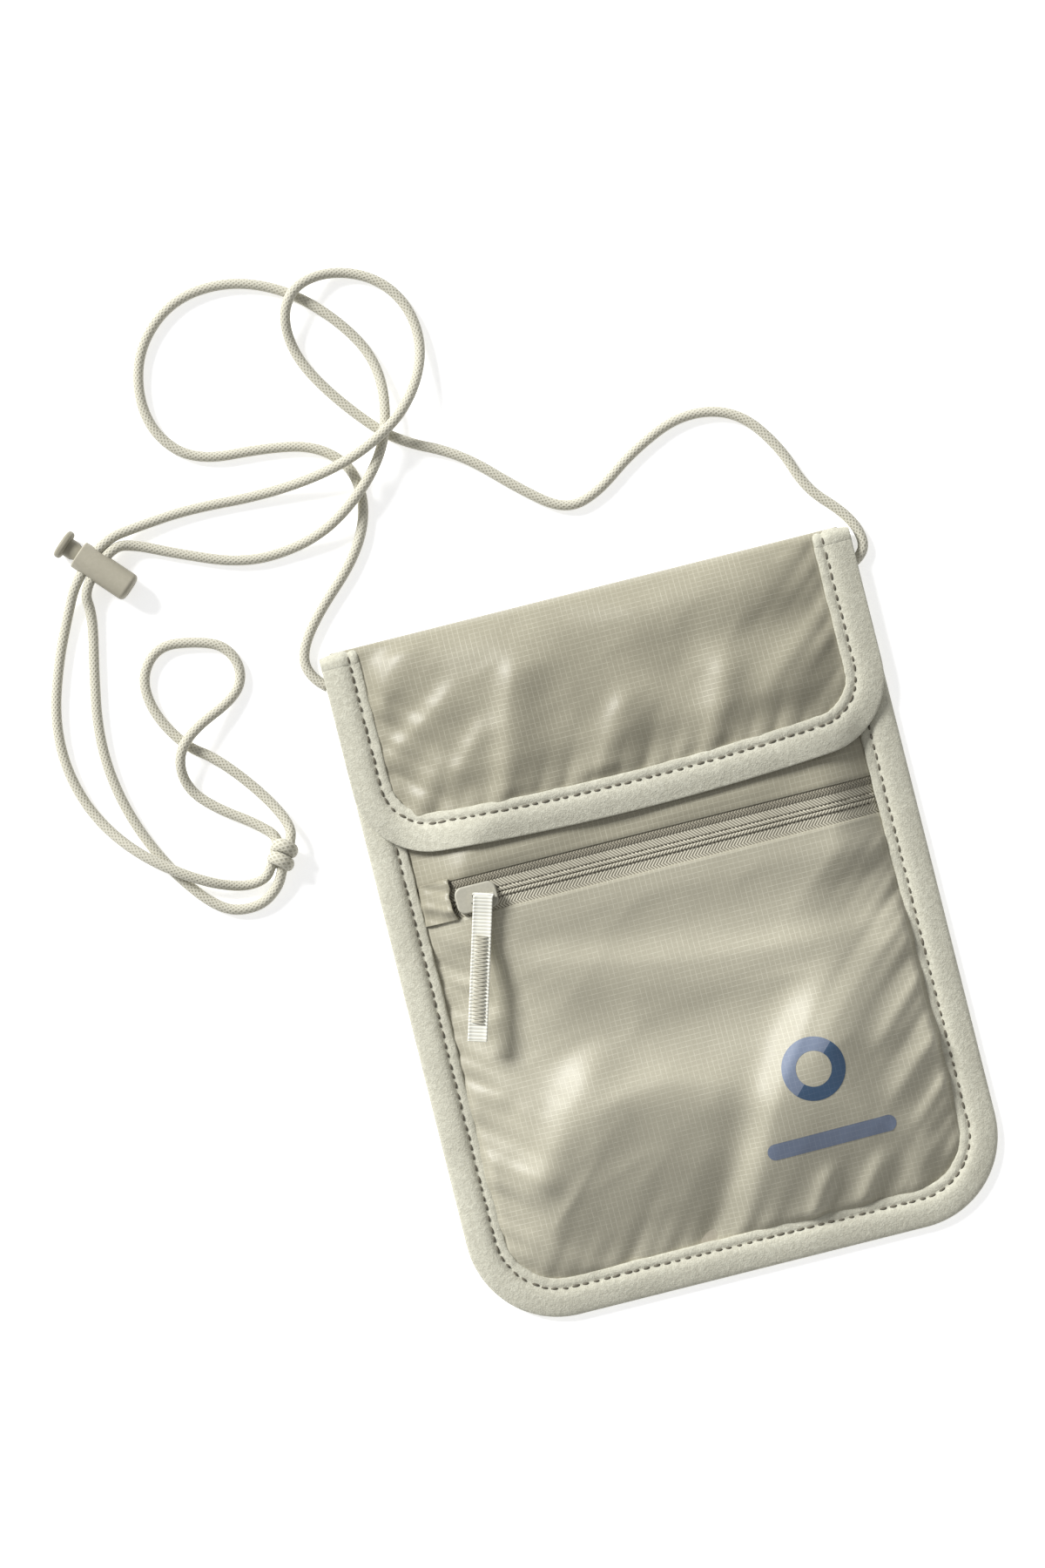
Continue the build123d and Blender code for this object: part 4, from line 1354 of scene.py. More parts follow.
# Section of a folded tape round an edge: inset, shares of the low, high and sheet heights, and a lift.
TAPE_SECTION = np.array(
    [
        [9.7, 1.0, 0.0, 0.0, 0.10],
        [8.2, 1.0, 0.0, 0.0, 0.03],
        [4.0, 1.0, 0.0, 0.0, 0.00],
        [1.3, 1.0, 0.0, 0.0, 0.00],
        [0.35, 0.8, 0.2, 0.0, 0.00],
        [0.0, 0.5, 0.5, 0.0, -0.05],
        [0.25, 0.22, 0.78, 0.0, -0.25],
        [1.0, 0.0, 1.0, 0.0, -0.45],
        [2.3, 0.0, 1.0, 0.0, -0.05],
        [4.0, 0.0, 1.0, 0.0, 0.32],
        [5.6, 0.0, 1.0, 0.0, 0.42],
        [6.8, 0.0, 0.95, 0.05, 0.24],
        [7.4, 0.0, 0.72, 0.28, -0.05],
        [7.85, 0.0, 0.72, 0.28, 0.05],
        [8.4, 0.0, 0.7, 0.3, 0.25],
        [9.1, 0.0, 0.62, 0.38, 0.25],
        [9.7, 0.0, 0.55, 0.45, 0.10],
        [9.95, 0.0, 0.3, 0.7, 0.00],
        [9.95, 0.0, 0.0, 1.0, -0.05],
    ]
)


@dataclass(frozen=True)
class Binding:
    """A brushed tape folded round an edge and sewn through, with its own stitches."""

    name: str
    edge: Edge
    low: tuple[float, float]
    high: tuple[float, float]
    over_flap: bool
    body: str
    node: str
    seed: int
    stitch_inset: float = 7.4
    stitch_pitch: float = 2.7

    def heights(self, x: Array, y: Array) -> tuple[Array, Array, Array]:
        """Heights of the tape's underside, its top and the fabric that it covers.

        Args:
            x: Places across the pouch.
            y: Places along the pouch.

        Returns:
            The three heights.
        """
        top = FORM.flap_top if self.over_flap else None
        sheet = FORM.layer(x, y, FORM.flap_layer if self.over_flap else FORM.front_layer, top)
        return FORM.layer(x, y, self.low, top), FORM.layer(x, y, self.high, top), sheet

    def build(self, workshop: Workshop) -> list[bpy.types.Object]:
        """The tape's section carried along the edge, with a wavy lip and a dimple at each stitch.

        Args:
            workshop: The finishes.

        Returns:
            The tape and its stitches.
        """
        run = self.edge.run(self.stitch_inset)
        section = TAPE_SECTION
        wave = 0.34 * crimp(run, (6.3, 9.9, 15.7), self.seed) + 0.2 * np.abs(
            np.sin(np.pi * run / self.stitch_pitch)
        )
        dimple = 0.5 + 0.5 * np.cos(2.0 * np.pi * run / self.stitch_pitch)
        near_lip = ease((section[:, 0] - 8.4) / 1.2)
        near_seam = np.exp(-(((section[:, 0] - self.stitch_inset) / 0.8) ** 2)) * (section[:, 3] > 0)
        inset = section[None, :, 0] + wave[:, None] * near_lip[None]
        reach = (self.edge.corner - inset)[..., None]
        places = self.edge.skeleton[:, None] + self.edge.outward[:, None] * reach
        low, high, sheet = self.heights(places[..., 0], places[..., 1])
        z = low * section[:, 1] + high * section[:, 2] + sheet * section[:, 3] + section[:, 4]
        z = z - 0.22 * dimple[:, None] * near_seam[None]
        lip = near_lip * (section[:, 3] > 0.0)
        z = z + 0.45 * crimp(run, (5.1, 8.3, 13.1), self.seed + 1)[:, None] * lip[None]
        puff = np.exp(-(((section[:, 0] - 3.6) / 2.4) ** 2)) * section[:, 2]
        z = z + 0.16 * crimp(run, (11.0, 17.0, 29.0), self.seed + 2)[:, None] * puff[None]
        points = np.concatenate([places, z[..., None]], -1)
        tape = surface(self.name, points, close_columns=True, caps=True, flip=True)
        add_subdivision(tape)
        workshop.dress(tape, SUEDE, "binding")
        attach(tape, self.body)
        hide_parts(self.node)
        stitches = self.stitches(run)
        # The stitches' dark colour is mostly painted shade in the stitch holes.
        workshop.dress(stitches, THREAD, "binding")
        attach(stitches, self.body)
        return [tape, stitches]

    def stitches(self, run: Array) -> bpy.types.Object:
        """Short threads in the seam's groove, one for each pitch.

        Args:
            run: Length along the seam at each station.

        Returns:
            The stitches' piece.
        """
        line = self.edge.at(self.stitch_inset)
        shake = np.random.default_rng(self.seed)
        starts = np.arange(1.0, run[-1] - 2.0, self.stitch_pitch)
        starts = starts + shake.uniform(-0.25, 0.25, len(starts))
        ends = starts + shake.uniform(0.58, 0.8, len(starts)) * self.stitch_pitch
        pairs = []
        for place in (starts, ends):
            off = shake.uniform(-0.16, 0.16, len(starts))
            x, y = np.interp(place, run, line[:, 0]) + off, np.interp(place, run, line[:, 1]) + off
            _, high, sheet = self.heights(x, y)
            pairs.append(np.stack([x, y, 0.72 * high + 0.28 * sheet - 0.12], -1))
        return capsules(self.name + "_stitches", pairs[0], pairs[1], 0.34, np.array([0.0, 0.0, 0.2]))


@dataclass(frozen=True)
class CornerTurn:
    """The binding's end at a top corner, where it rolls over the fold to the back."""

    side: int
    centre_y: float = 87.2
    centre_z: float = 2.45

    def build(self, workshop: Workshop) -> list[bpy.types.Object]:
        """A section across the tape carried half round the fold's axis, flatter at the back.

        Args:
            workshop: The finishes.

        Returns:
            The turn and its stitches.
        """
        section = np.array(
            [
                [9.9, -0.55], [7.0, -0.55], [3.0, -0.55], [0.8, -0.5], [0.15, -0.3], [0.0, 0.0],
                [0.25, 0.15], [1.0, 0.42], [2.3, 0.82], [4.0, 1.2], [5.6, 1.3], [6.8, 1.08],
                [7.4, 0.6], [7.85, 0.72], [8.4, 0.92], [9.1, 0.86], [9.75, 0.6], [10.0, 0.2],
            ]
        )
        angle = np.linspace(0.0, math.pi, 22)
        ahead = np.linspace(3.0, 0.0, 7, endpoint=False)
        stations = np.concatenate([np.zeros(7), angle, np.full(4, math.pi)])
        straight = np.concatenate([ahead, np.zeros(22), np.linspace(1.0, 4.5, 4)])
        flat = 1.0 - 0.72 * ease(stations / math.pi)
        reach = 1.98 + section[None, :, 1] * np.where(section[None, :, 1] > 0, flat[:, None], 1.0)
        y = self.centre_y + reach * np.sin(stations)[:, None] * 0.98 - straight[:, None]
        sunk = 0.85 * ease((straight * (stations < 0.1) - 0.8) / 2.2)
        z = self.centre_z + reach * np.cos(stations)[:, None] - sunk[:, None]
        z = np.maximum(z, 0.02)
        x = np.broadcast_to(self.side * (FORM.half_width - section[None, :, 0]), y.shape)
        points = np.stack([x, y, z], -1)
        turn = surface(
            "corner_turn_" + ("left" if self.side < 0 else "right"),
            points,
            close_columns=True,
            caps=True,
            flip=self.side > 0,
        )
        add_subdivision(turn)
        workshop.dress(turn, SUEDE, "binding")
        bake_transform(turn)
        seam_x = self.side * (FORM.half_width - 7.4)
        reach, tilt = 2.6, 0.35
        start = np.array([[seam_x, self.centre_y - 1.0, self.centre_z + reach]])
        end = np.array(
            [[seam_x, self.centre_y + reach * math.sin(tilt), self.centre_z + reach * math.cos(tilt)]]
        )
        stitches = capsules(turn.name + "_stitches", start, end, 0.3, np.array([0.0, 0.0, 0.2]))
        # The stitches' dark colour is mostly painted shade in the stitch holes.
        workshop.dress(stitches, THREAD, "binding")
        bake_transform(stitches)
        return [turn, stitches]


# ---------------------------------------------------------------- fabric panels


class Panels:
    """The fabric panels, each a grid over its own plan with the form's heights."""

    def __init__(self, workshop: Workshop) -> None:
        """Keeps the finishes."""
        self.workshop = workshop

    @staticmethod
    def rows_of(low: float, high: float, step: float, corner: float | None = None) -> Array:
        """Row places from low to high, closer together through a round bottom corner.

        Args:
            low: Lowest place.
            high: Highest place.
            step: Row spacing.
            corner: Radius of the bottom corners, if they are round.

        Returns:
            The rows' places.
        """
        if corner is None:
            return np.linspace(low, high, int((high - low) / step) + 1)
        turn = np.linspace(0.0, 0.5 * math.pi, 26)
        bend = low + corner * (1.0 - np.cos(turn))
        straight = np.linspace(low + corner, high, int((high - low - corner) / step) + 1)
        return np.concatenate([bend, straight[1:]])

    @staticmethod
    def half_widths(rows: Array, inset: float, low: float, corner: float) -> Array:
        """Half the panel's width at each row, following the round bottom corners.

        Args:
            rows: The rows' places.
            inset: Inset from the outline.
            low: The outline's lowest place.
            corner: The outline's corner radius.

        Returns:
            Half widths in millimetres.
        """
        radius = corner - inset
        drop = np.clip((low + corner - rows) / radius, 0.0, 1.0)
        return FORM.half_width - corner + radius * np.sqrt(1.0 - drop**2)

    def body_plan(self, high: float, step: float) -> tuple[Array, Array]:
        """Rows and half widths of a panel with the pouch's round bottom corners.

        Args:
            high: Highest place.
            step: Row spacing.

        Returns:
            The rows' places and their half widths.
        """
        rows = self.rows_of(FORM.hem - FORM.half_length, high, step, FORM.corner - FORM.hem)
        return rows, self.half_widths(rows, FORM.hem, -FORM.half_length, FORM.corner)

    def sheet(
        self,
        name: str,
        rows: Array,
        widths: Array,
        heights: Heights,
        columns: int,
        finish: Finish,
        slot: str,
        hem_at: str = "",
        under: float = 0.65,
        flip: bool = False,
    ) -> bpy.types.Object:
        """A panel over rows of varying width, with a folded hem along one end.

        Args:
            name: The piece's name.
            rows: The rows' places from low to high.
            widths: Half width of each row.
            heights: Function of x and y that gives the panel's height.
            columns: Grid columns.
            finish: The panel's finish.
            slot: Not used.
            hem_at: "low" or "high" to fold a hem there.
            under: How far the hem lies under the panel.
            flip: Turns the faces down.

        Returns:
            The piece.
        """
        across = np.linspace(-1.0, 1.0, columns)
        x = widths[:, None] * across[None]
        y = np.broadcast_to(rows[:, None], x.shape)
        z = heights(x, y)
        if hem_at:
            end, sign = (0, 1.0) if hem_at == "low" else (-1, -1.0)
            back = np.array([-0.12, -0.22, -0.12, 0.3, 1.6, 3.2])
            drop = np.array([0.12, 0.34, 0.56, 0.68, under, under])
            hem_x = np.repeat(x[end][None], 6, 0)
            hem_y = y[end][None] + sign * back[:, None]
            hem_z = heights(hem_x, hem_y) - drop[:, None]
            if hem_at == "low":
                x, y, z = (np.concatenate([h[::-1], s]) for h, s in ((hem_x, x), (hem_y, y), (hem_z, z)))
            else:
                x, y, z = (np.concatenate([s, h]) for h, s in ((hem_x, x), (hem_y, y), (hem_z, z)))
        points = np.stack([x, y, z], -1)
        middle = run_along(points[:, columns // 2])
        uv = np.stack([x, np.broadcast_to(middle[:, None], x.shape)], -1) * MM
        piece = surface(name, points, uv, flip=flip)
        add_wall(piece, 0.28)
        self.workshop.dress(piece, finish, slot)
        return piece

    def front_lower(self) -> bpy.types.Object:
        """The front panel below the zip."""
        rows, widths = self.body_plan(FORM.zip_window[0], 0.8)
        piece = self.sheet("front_lower_fabric", rows, widths, FORM.front, 150, RIPSTOP, "fabric", "high")
        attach(piece, "pouch")
        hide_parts("front_panel_lower")
        return piece

    def front_upper(self) -> bpy.types.Object:
        """The front panel above the zip, up to the mouth."""
        rows = self.rows_of(FORM.zip_window[1], FORM.mouth, 0.9)
        widths = np.full_like(rows, FORM.half_width - FORM.hem)
        # The darker ripstop on this strip is painted shade from the flap.
        piece = self.sheet(
            "front_upper_fabric", rows, widths, FORM.front, 130, SHADED_RIPSTOP, "fabric", "low"
        )
        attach(piece, "pouch")
        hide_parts("front_panel_upper")
        return piece

    def middle(self) -> bpy.types.Object:
        """The panel between the main compartment and the zipped pocket."""
        rows, widths = self.body_plan(FORM.mouth, 1.6)

        def heights(x: Array, y: Array) -> Array:
            """The middle layer's height, kept a little under the front."""
            return np.minimum(FORM.layer(x, y, (1.1, 5.25)), np.maximum(FORM.front(x, y) - 0.7, 1.1))

        piece = self.sheet("middle_fabric", rows, widths, heights, 90, LINING, "fabric")
        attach(piece, "pouch")
        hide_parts("middle_panel")
        return piece

    def back(self) -> bpy.types.Object:
        """The back panel, nearly flat on the surface, with slight puckers at its seams."""
        rows, widths = self.body_plan(85.0, 1.2)

        def heights(x: Array, y: Array) -> Array:
            """Height of the back panel's inner face: a low even height with faint puckers."""
            fade = ease((FORM.depth(x, y) - 8.0) / 5.0) * ease((80.0 - y) / 8.0)
            return 0.62 + fade * (0.16 + 0.3 * FORM.seam_puckers(x, y, 71))

        piece = self.sheet("back_fabric", rows, widths, heights, 110, RIPSTOP, "fabric")
        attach(piece, "pouch")
        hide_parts("back_panel")
        return piece

    def mouth_edge(self) -> bpy.types.Object:
        """Narrow tape folded over the mouth's edge: a flat oval tube along it."""
        x = np.linspace(-FORM.half_width + 6.0, FORM.half_width - 6.0, 120)
        y = np.full_like(x, FORM.mouth + 0.2)
        z = FORM.layer(x, y, (1.6, 5.6))
        tube = sweep("mouth_tape", np.stack([x, y, z], -1), (1.3, 0.45), 12)
        self.workshop.dress(tube, SUEDE, "binding")
        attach(tube, "pouch")
        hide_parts("mouth_binding")
        return tube

    def flap(self) -> bpy.types.Object:
        """The flap: up from the back, half round the fold, then down over the front with its folds."""
        inset, low = FORM.hem, FORM.half_length - FORM.flap_length - 1.0
        rows = self.rows_of(low + inset, 88.0, 0.8, FORM.flap_corner - inset)[::-1]
        widths = self.half_widths(rows, inset, low, FORM.flap_corner)
        across = np.linspace(-1.0, 1.0, 150)
        x = widths[:, None] * across[None]
        crown = 1.6 * (1.0 - (x / 60.0) ** 2) * ease((52.0 - rows[:, None]) / 12.0)
        y = rows[:, None] - crown
        z = FORM.flap(x, y)
        start = np.linspace(83.0, 88.0, 5)
        angle = np.linspace(0.0, math.pi, 18)[1:-1]
        turn_y = np.concatenate([start, 88.0 + 2.0 * np.sin(angle)])
        turn_z = np.concatenate([np.full(5, 0.42), 2.41 - 1.99 * np.cos(angle)])
        wide = np.full(len(turn_y), FORM.half_width - inset)[:, None] * across[None]
        turn_y = np.broadcast_to(turn_y[:, None], wide.shape)
        front = np.concatenate([np.zeros(5), angle > 0.5 * math.pi])[:, None]
        turn_z = turn_z[:, None] + front * (FORM.flap(wide, turn_y) - FORM.flap_layer[0])
        points = np.concatenate(
            [
                np.stack([wide, turn_y, turn_z], -1),
                np.stack([x, y, z], -1),
            ]
        )
        run = run_along(points[:, 75])
        uv = np.stack([points[..., 0], np.broadcast_to(run[:, None], points.shape[:2])], -1) * MM
        piece = surface("flap_fabric", points, uv, flip=True)
        add_wall(piece, 0.28)
        # The darker ripstop on the flap is painted shade.
        self.workshop.dress(piece, SHADED_RIPSTOP, "fabric")
        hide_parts("flap_outer", "flap_fold")
        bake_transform(piece)
        return piece

    def flap_lining(self) -> bpy.types.Object:
        """The flap's lining, a little under the outer fabric."""
        inset, low = 3.5, FORM.half_length - FORM.flap_length
        rows = self.rows_of(low + inset, 85.5, 1.2, FORM.flap_corner - inset)
        widths = self.half_widths(rows, inset, low, FORM.flap_corner)

        def heights(x: Array, y: Array) -> Array:
            """Under the smooth flap, and under its puckers where they dip lower."""
            return np.minimum(FORM.flap(x, y, 0.0) - 0.8, FORM.flap(x, y) - 0.45)

        piece = self.sheet("flap_lining_fabric", rows, widths, heights, 110, LINING, "fabric", flip=True)
        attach(piece, "flap")
        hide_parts("flap_lining")
        return piece

    def build(self) -> list[bpy.types.Object]:
        """Makes every panel.

        Returns:
            The pieces.
        """
        return [
            self.back(),
            self.middle(),
            self.front_lower(),
            self.front_upper(),
            self.mouth_edge(),
            self.flap_lining(),
            self.flap(),
        ]


# ---------------------------------------------------------------- zip


@dataclass(frozen=True)
class Zip:
    """Tapes with their beaded middle, hidden coils, sewing rows, and the folded tab at the closed end."""

    half_length: float = 60.0
    gap: float = 0.1
    coil_half_length: float = 51.8
    coil_pitch: float = 1.25

    def tape_height(self, x: Array, out: Array) -> Array:
        """Height of a tape: the layer's height, a round bead beside the gap and a step down past it.

        Args:
            x: Places across the pouch.
            out: Distance from the zip's middle line.

        Returns:
            Heights in millimetres.
        """
        y = np.full_like(x, FORM.zip_y)
        base = FORM.layer(x, y, (1.1, 9.2))
        bead = 0.3 * np.sqrt(np.clip(1.0 - ((out - 0.6) / 0.5) ** 2, 0.0, 1.0))
        groove = -0.16 * np.exp(-(((out - 1.25) / 0.2) ** 2))
        return base + 0.12 + bead + groove - 1.3 * ease((out - 5.2) / 1.4)

    def tapes(self, workshop: Workshop) -> list[bpy.types.Object]:
        """The two tapes, each a grid along the zip whose height depends on the distance from its middle.

        Args:
            workshop: The finishes.

        Returns:
            The pieces.
        """
        made = []
        x = np.linspace(-self.half_length, self.half_length, 180)
        out = np.concatenate([[0.06, 0.06], np.linspace(self.gap, 1.8, 20), np.linspace(2.1, 8.0, 16)])
        for side, name in ((-1, "lower"), (1, "upper")):
            grid_x, grid_out = np.meshgrid(x, out)
            z = self.tape_height(grid_x, grid_out)
            z[0] -= 0.7
            z[1] -= 0.35
            y = FORM.zip_y + side * grid_out
            points = np.stack([grid_x, y, z], -1)
            uv = np.stack([grid_x, grid_out], -1) * MM
            tape = surface(f"zip_tape_{name}", points, uv, flip=side < 0)
            add_wall(tape, 0.3)
            workshop.dress(tape, TAPE, "zipper_tape")
            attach(tape, "pouch")
            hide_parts(f"zipper_tape_{name}")
            made.append(tape)
        # A dark strip laid over the upper tape beside the fabric's edge: painted shadow.
        shadow_x, shadow_out = np.meshgrid(x, np.array([3.5, 3.7, 4.6, 5.3, 6.0, 6.6]))
        lift = np.array([0.0, 0.1, 0.12, 0.12, 0.12, 0.02])[:, None]
        z = self.tape_height(shadow_x, shadow_out) + lift + 0.05
        strip = surface(
            "zip_painted_shadow_strip",
            np.stack([shadow_x, FORM.zip_y + shadow_out, z], -1),
            np.stack([shadow_x, shadow_out], -1) * MM,
        )
        add_wall(strip, 0.15)
        workshop.dress(strip, SHADE_TAPE, "zipper_tape")
        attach(strip, "pouch")
        made.append(strip)
        return made

    def coils(self, workshop: Workshop) -> list[bpy.types.Object]:
        """The coils: a flattened helix under each tape.

        Args:
            workshop: The finishes.

        Returns:
            The pieces.
        """
        made = []
        turns = 2.0 * self.coil_half_length / self.coil_pitch
        t = np.linspace(0.0, turns, int(turns * 12))
        for side, name in ((-1, "lower"), (1, "upper")):
            x = -self.coil_half_length + self.coil_pitch * t
            y = FORM.zip_y + side * (1.25 + 0.88 * np.cos(2.0 * np.pi * t))
            z = self.tape_height(x, np.full_like(x, 0.6)) - 0.95 + 0.3 * np.sin(2.0 * np.pi * t)
            coil = sweep(f"zip_coil_{name}", np.stack([x, y, z], -1), (0.2, 0.2), 6)
            workshop.dress(coil, COIL, "zipper_coil")
            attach(coil, "pouch")
            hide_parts(f"zipper_coil_{name}")
            made.append(coil)
        return made

    def sewing(self, workshop: Workshop) -> bpy.types.Object:
        """Small stitches beside the beads and along the tapes.

        Args:
            workshop: The finishes.

        Returns:
            The piece.
        """
        x = np.arange(-self.half_length + 1.0, self.half_length - 1.5, 1.05)
        starts, ends = [], []
        for side in (-1, 1):
            out = np.full_like(x, 1.25)
            z = self.tape_height(x, out) + 0.06
            starts.append(np.stack([x + 0.25 * side, FORM.zip_y + side * out, z], -1))
            ends.append(starts[-1] + np.array([0.62, 0.0, 0.0]))
        rows = capsules(
            "zip_sewing", np.concatenate(starts), np.concatenate(ends), 0.21, np.array([0.0, 0.0, 0.04])
        )
        workshop.dress(rows, DARK_THREAD, "zipper_tape")
        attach(rows, "pouch")
        return rows

    def tab(self, workshop: Workshop) -> bpy.types.Object:
        """The tab: fabric folded at both long sides, with its free end curled up off the tape.

        Args:
            workshop: The finishes.

        Returns:
            The piece.
        """
        lip = np.linspace(0.2, math.pi, 9)
        u = np.concatenate([np.linspace(-63.0, -52.6, 26), -52.6 + 1.1 * np.sin(lip), [-53.8, -55.2]])
        curl = np.concatenate([np.zeros(26), 0.55 * (np.cos(lip) - 1.0), [-1.05, -1.0]])
        v = np.concatenate([[16.9, 16.2], np.linspace(15.8, 26.8, 20), [26.4, 25.7]])
        tuck = np.concatenate([[-0.75, -0.6], np.zeros(20), [-0.6, -0.75]])
        x, y = np.meshgrid(u, v)
        base = FORM.layer(x, y, (2.1, 10.35)) - 1.1 * ease((-59.0 - x) / 2.0)
        rise = 1.35 * ease((x + 57.0) / 4.6) * (0.55 + 0.45 * np.sin((y - 15.8) / 11.0 * math.pi))
        crease = 1.1 * np.exp(-(((y - 20.0 + 0.35 * (x + 56.0)) / 1.3) ** 2)) * ease((x + 62.0) / 4.0)
        ripple = -1.1 * crimp(y + 0.4 * x, (4.1, 6.3), 90) * ease((x + 61.0) / 4.0)
        z = base + rise + crease + ripple + curl[None] + tuck[:, None]
        notch = 1.3 * np.exp(-(((y - 22.3) / 1.6) ** 2)) * ease((x + 56.0) / 3.4)
        skew = 0.07 * (y - 21.0) - notch + 0.5 * np.sin(y * 0.9) * ease((x + 56.0) / 3.4)
        points = np.stack([x + skew, y, z], -1)
        tab = surface("zip_end_tab", points, np.stack([x, y], -1) * MM)
        add_wall(tab, 0.3)
        add_subdivision(tab)
        # The darker ripstop on the tab is painted shade.
        workshop.dress(tab, SHADED_RIPSTOP, "fabric")
        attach(tab, "pouch")
        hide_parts("zipper_garage")
        return tab

    def stops(self, workshop: Workshop) -> bpy.types.Object:
        """The two small stops: one bowed bar across each end of the coils.

        Args:
            workshop: The finishes.

        Returns:
            The piece.
        """
        x = np.array([-self.half_length + 7.2, self.half_length - 7.2])
        z = self.tape_height(x, np.full_like(x, 0.6)) - 0.85
        starts = np.stack([x, np.full_like(x, FORM.zip_y - 1.5), z], -1)
        bars = capsules(
            "zip_stops", starts, starts + np.array([0.0, 3.0, 0.0]), 0.5, np.array([0.0, 0.0, 0.2])
        )
        add_subdivision(bars)
        workshop.dress(bars, COIL, "zipper_coil")
        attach(bars, "pouch")
        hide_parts("zipper_stops")
        return bars

    def build(self, workshop: Workshop) -> list[bpy.types.Object]:
        """Makes the zip's own pieces.

        Args:
            workshop: The finishes.

        Returns:
            The pieces.
        """
        return [
            *self.tapes(workshop),
            *self.coils(workshop),
            self.stops(workshop),
            self.sewing(workshop),
            self.tab(workshop),
        ]


@dataclass(frozen=True)
class RibbonPull:
    """A doubled strip of ribbed ribbon looped round the slider's bar, sewn through with a zigzag."""

    start: tuple[float, float] = (-43.8, 20.4)
    end: tuple[float, float] = (-54.2, -15.15)
    width: float = 5.0
    bar_z: float = 12.05
    loop_radius: float = 0.85
    wall: float = 0.24

    def build(self, workshop: Workshop) -> list[bpy.types.Object]:
        """The ribbon as a flat loop: out along the top, round the end, back underneath and over the bar.

        Args:
            workshop: The finishes.

        Returns:
            The ribbon and its zigzag.
        """
        heading = unit(np.array([self.end[0] - self.start[0], self.end[1] - self.start[1]]))
        length = math.dist(self.start, self.end)
        d = np.linspace(0.0, length, 150)
        sag = 0.1 * ease(d / 16.0) + 0.1 * np.sin(d / 5.2) * ease(d / 8.0)
        gap = self.loop_radius * (1.0 - 0.72 * ease(d / 6.0))
        top_z, low_z = self.bar_z + sag + gap, self.bar_z + sag - gap
        arc = np.linspace(0.5 * math.pi, 1.5 * math.pi, 16)[1:-1]
        back = np.stack([self.loop_radius * np.cos(arc), self.bar_z + self.loop_radius * np.sin(arc)], -1)
        profile = np.concatenate([np.stack([d, top_z], -1), np.stack([d, low_z], -1)[::-1], back[::-1]])
        across = np.array(
            [-1.0, -0.97, -0.86, -0.78, -0.4, 0.0, 0.4, 0.78, 0.86, 0.97, 1.0]
        ) * self.width / 2.0
        edge = np.array([-0.1, 0.05, 0.08, 0.0, 0.0, 0.0, 0.0, 0.0, 0.08, 0.05, -0.1])
        run = run_along(profile)
        side = np.array([-heading[1], heading[0]])
        places = (
            np.array(self.start)[None, None]
            + heading[None, None] * profile[:, None, :1]
            + side[None, None] * across[None, :, None]
        )
        ribs = 0.05 * np.cos(2.0 * np.pi * run / 0.9)[:, None] * (np.abs(across) < 2.0)[None]
        sign = np.where(np.arange(len(profile)) < 150, 1.0, -1.0)[:, None]
        z = profile[:, 1:2] + sign * (edge[None] + ribs)
        points = np.concatenate([places, z[..., None]], -1)
        close = np.concatenate([run, [run[-1] + 0.3]])
        uv = np.stack(np.meshgrid(across, close), -1) * MM
        ribbon = surface("ribbon_pull", points, uv, close_rows=True, flip=True)
        add_wall(ribbon, self.wall)
        workshop.dress(ribbon, GROSGRAIN, "ribbon")
        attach(ribbon, "ribbon")
        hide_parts("pull_ribbon")
        along = np.linspace(0.27, 0.88, 46) * length
        flank = np.where(np.arange(46) % 2 == 0, -1.75, 1.75)
        place = np.array(self.start)[None] + heading[None] * along[:, None] + side[None] * flank[:, None]
        height = np.interp(along, d, top_z) + 0.12
        zigzag = np.concatenate([place, height[:, None]], -1)
        thread = capsules("ribbon_zigzag", zigzag[:-1], zigzag[1:], 0.3, np.array([0.0, 0.0, 0.1]))
        workshop.dress(thread, PALE_THREAD, "ribbon")
        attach(thread, "ribbon")
        return [ribbon, thread]


# ---------------------------------------------------------------- print and fittings


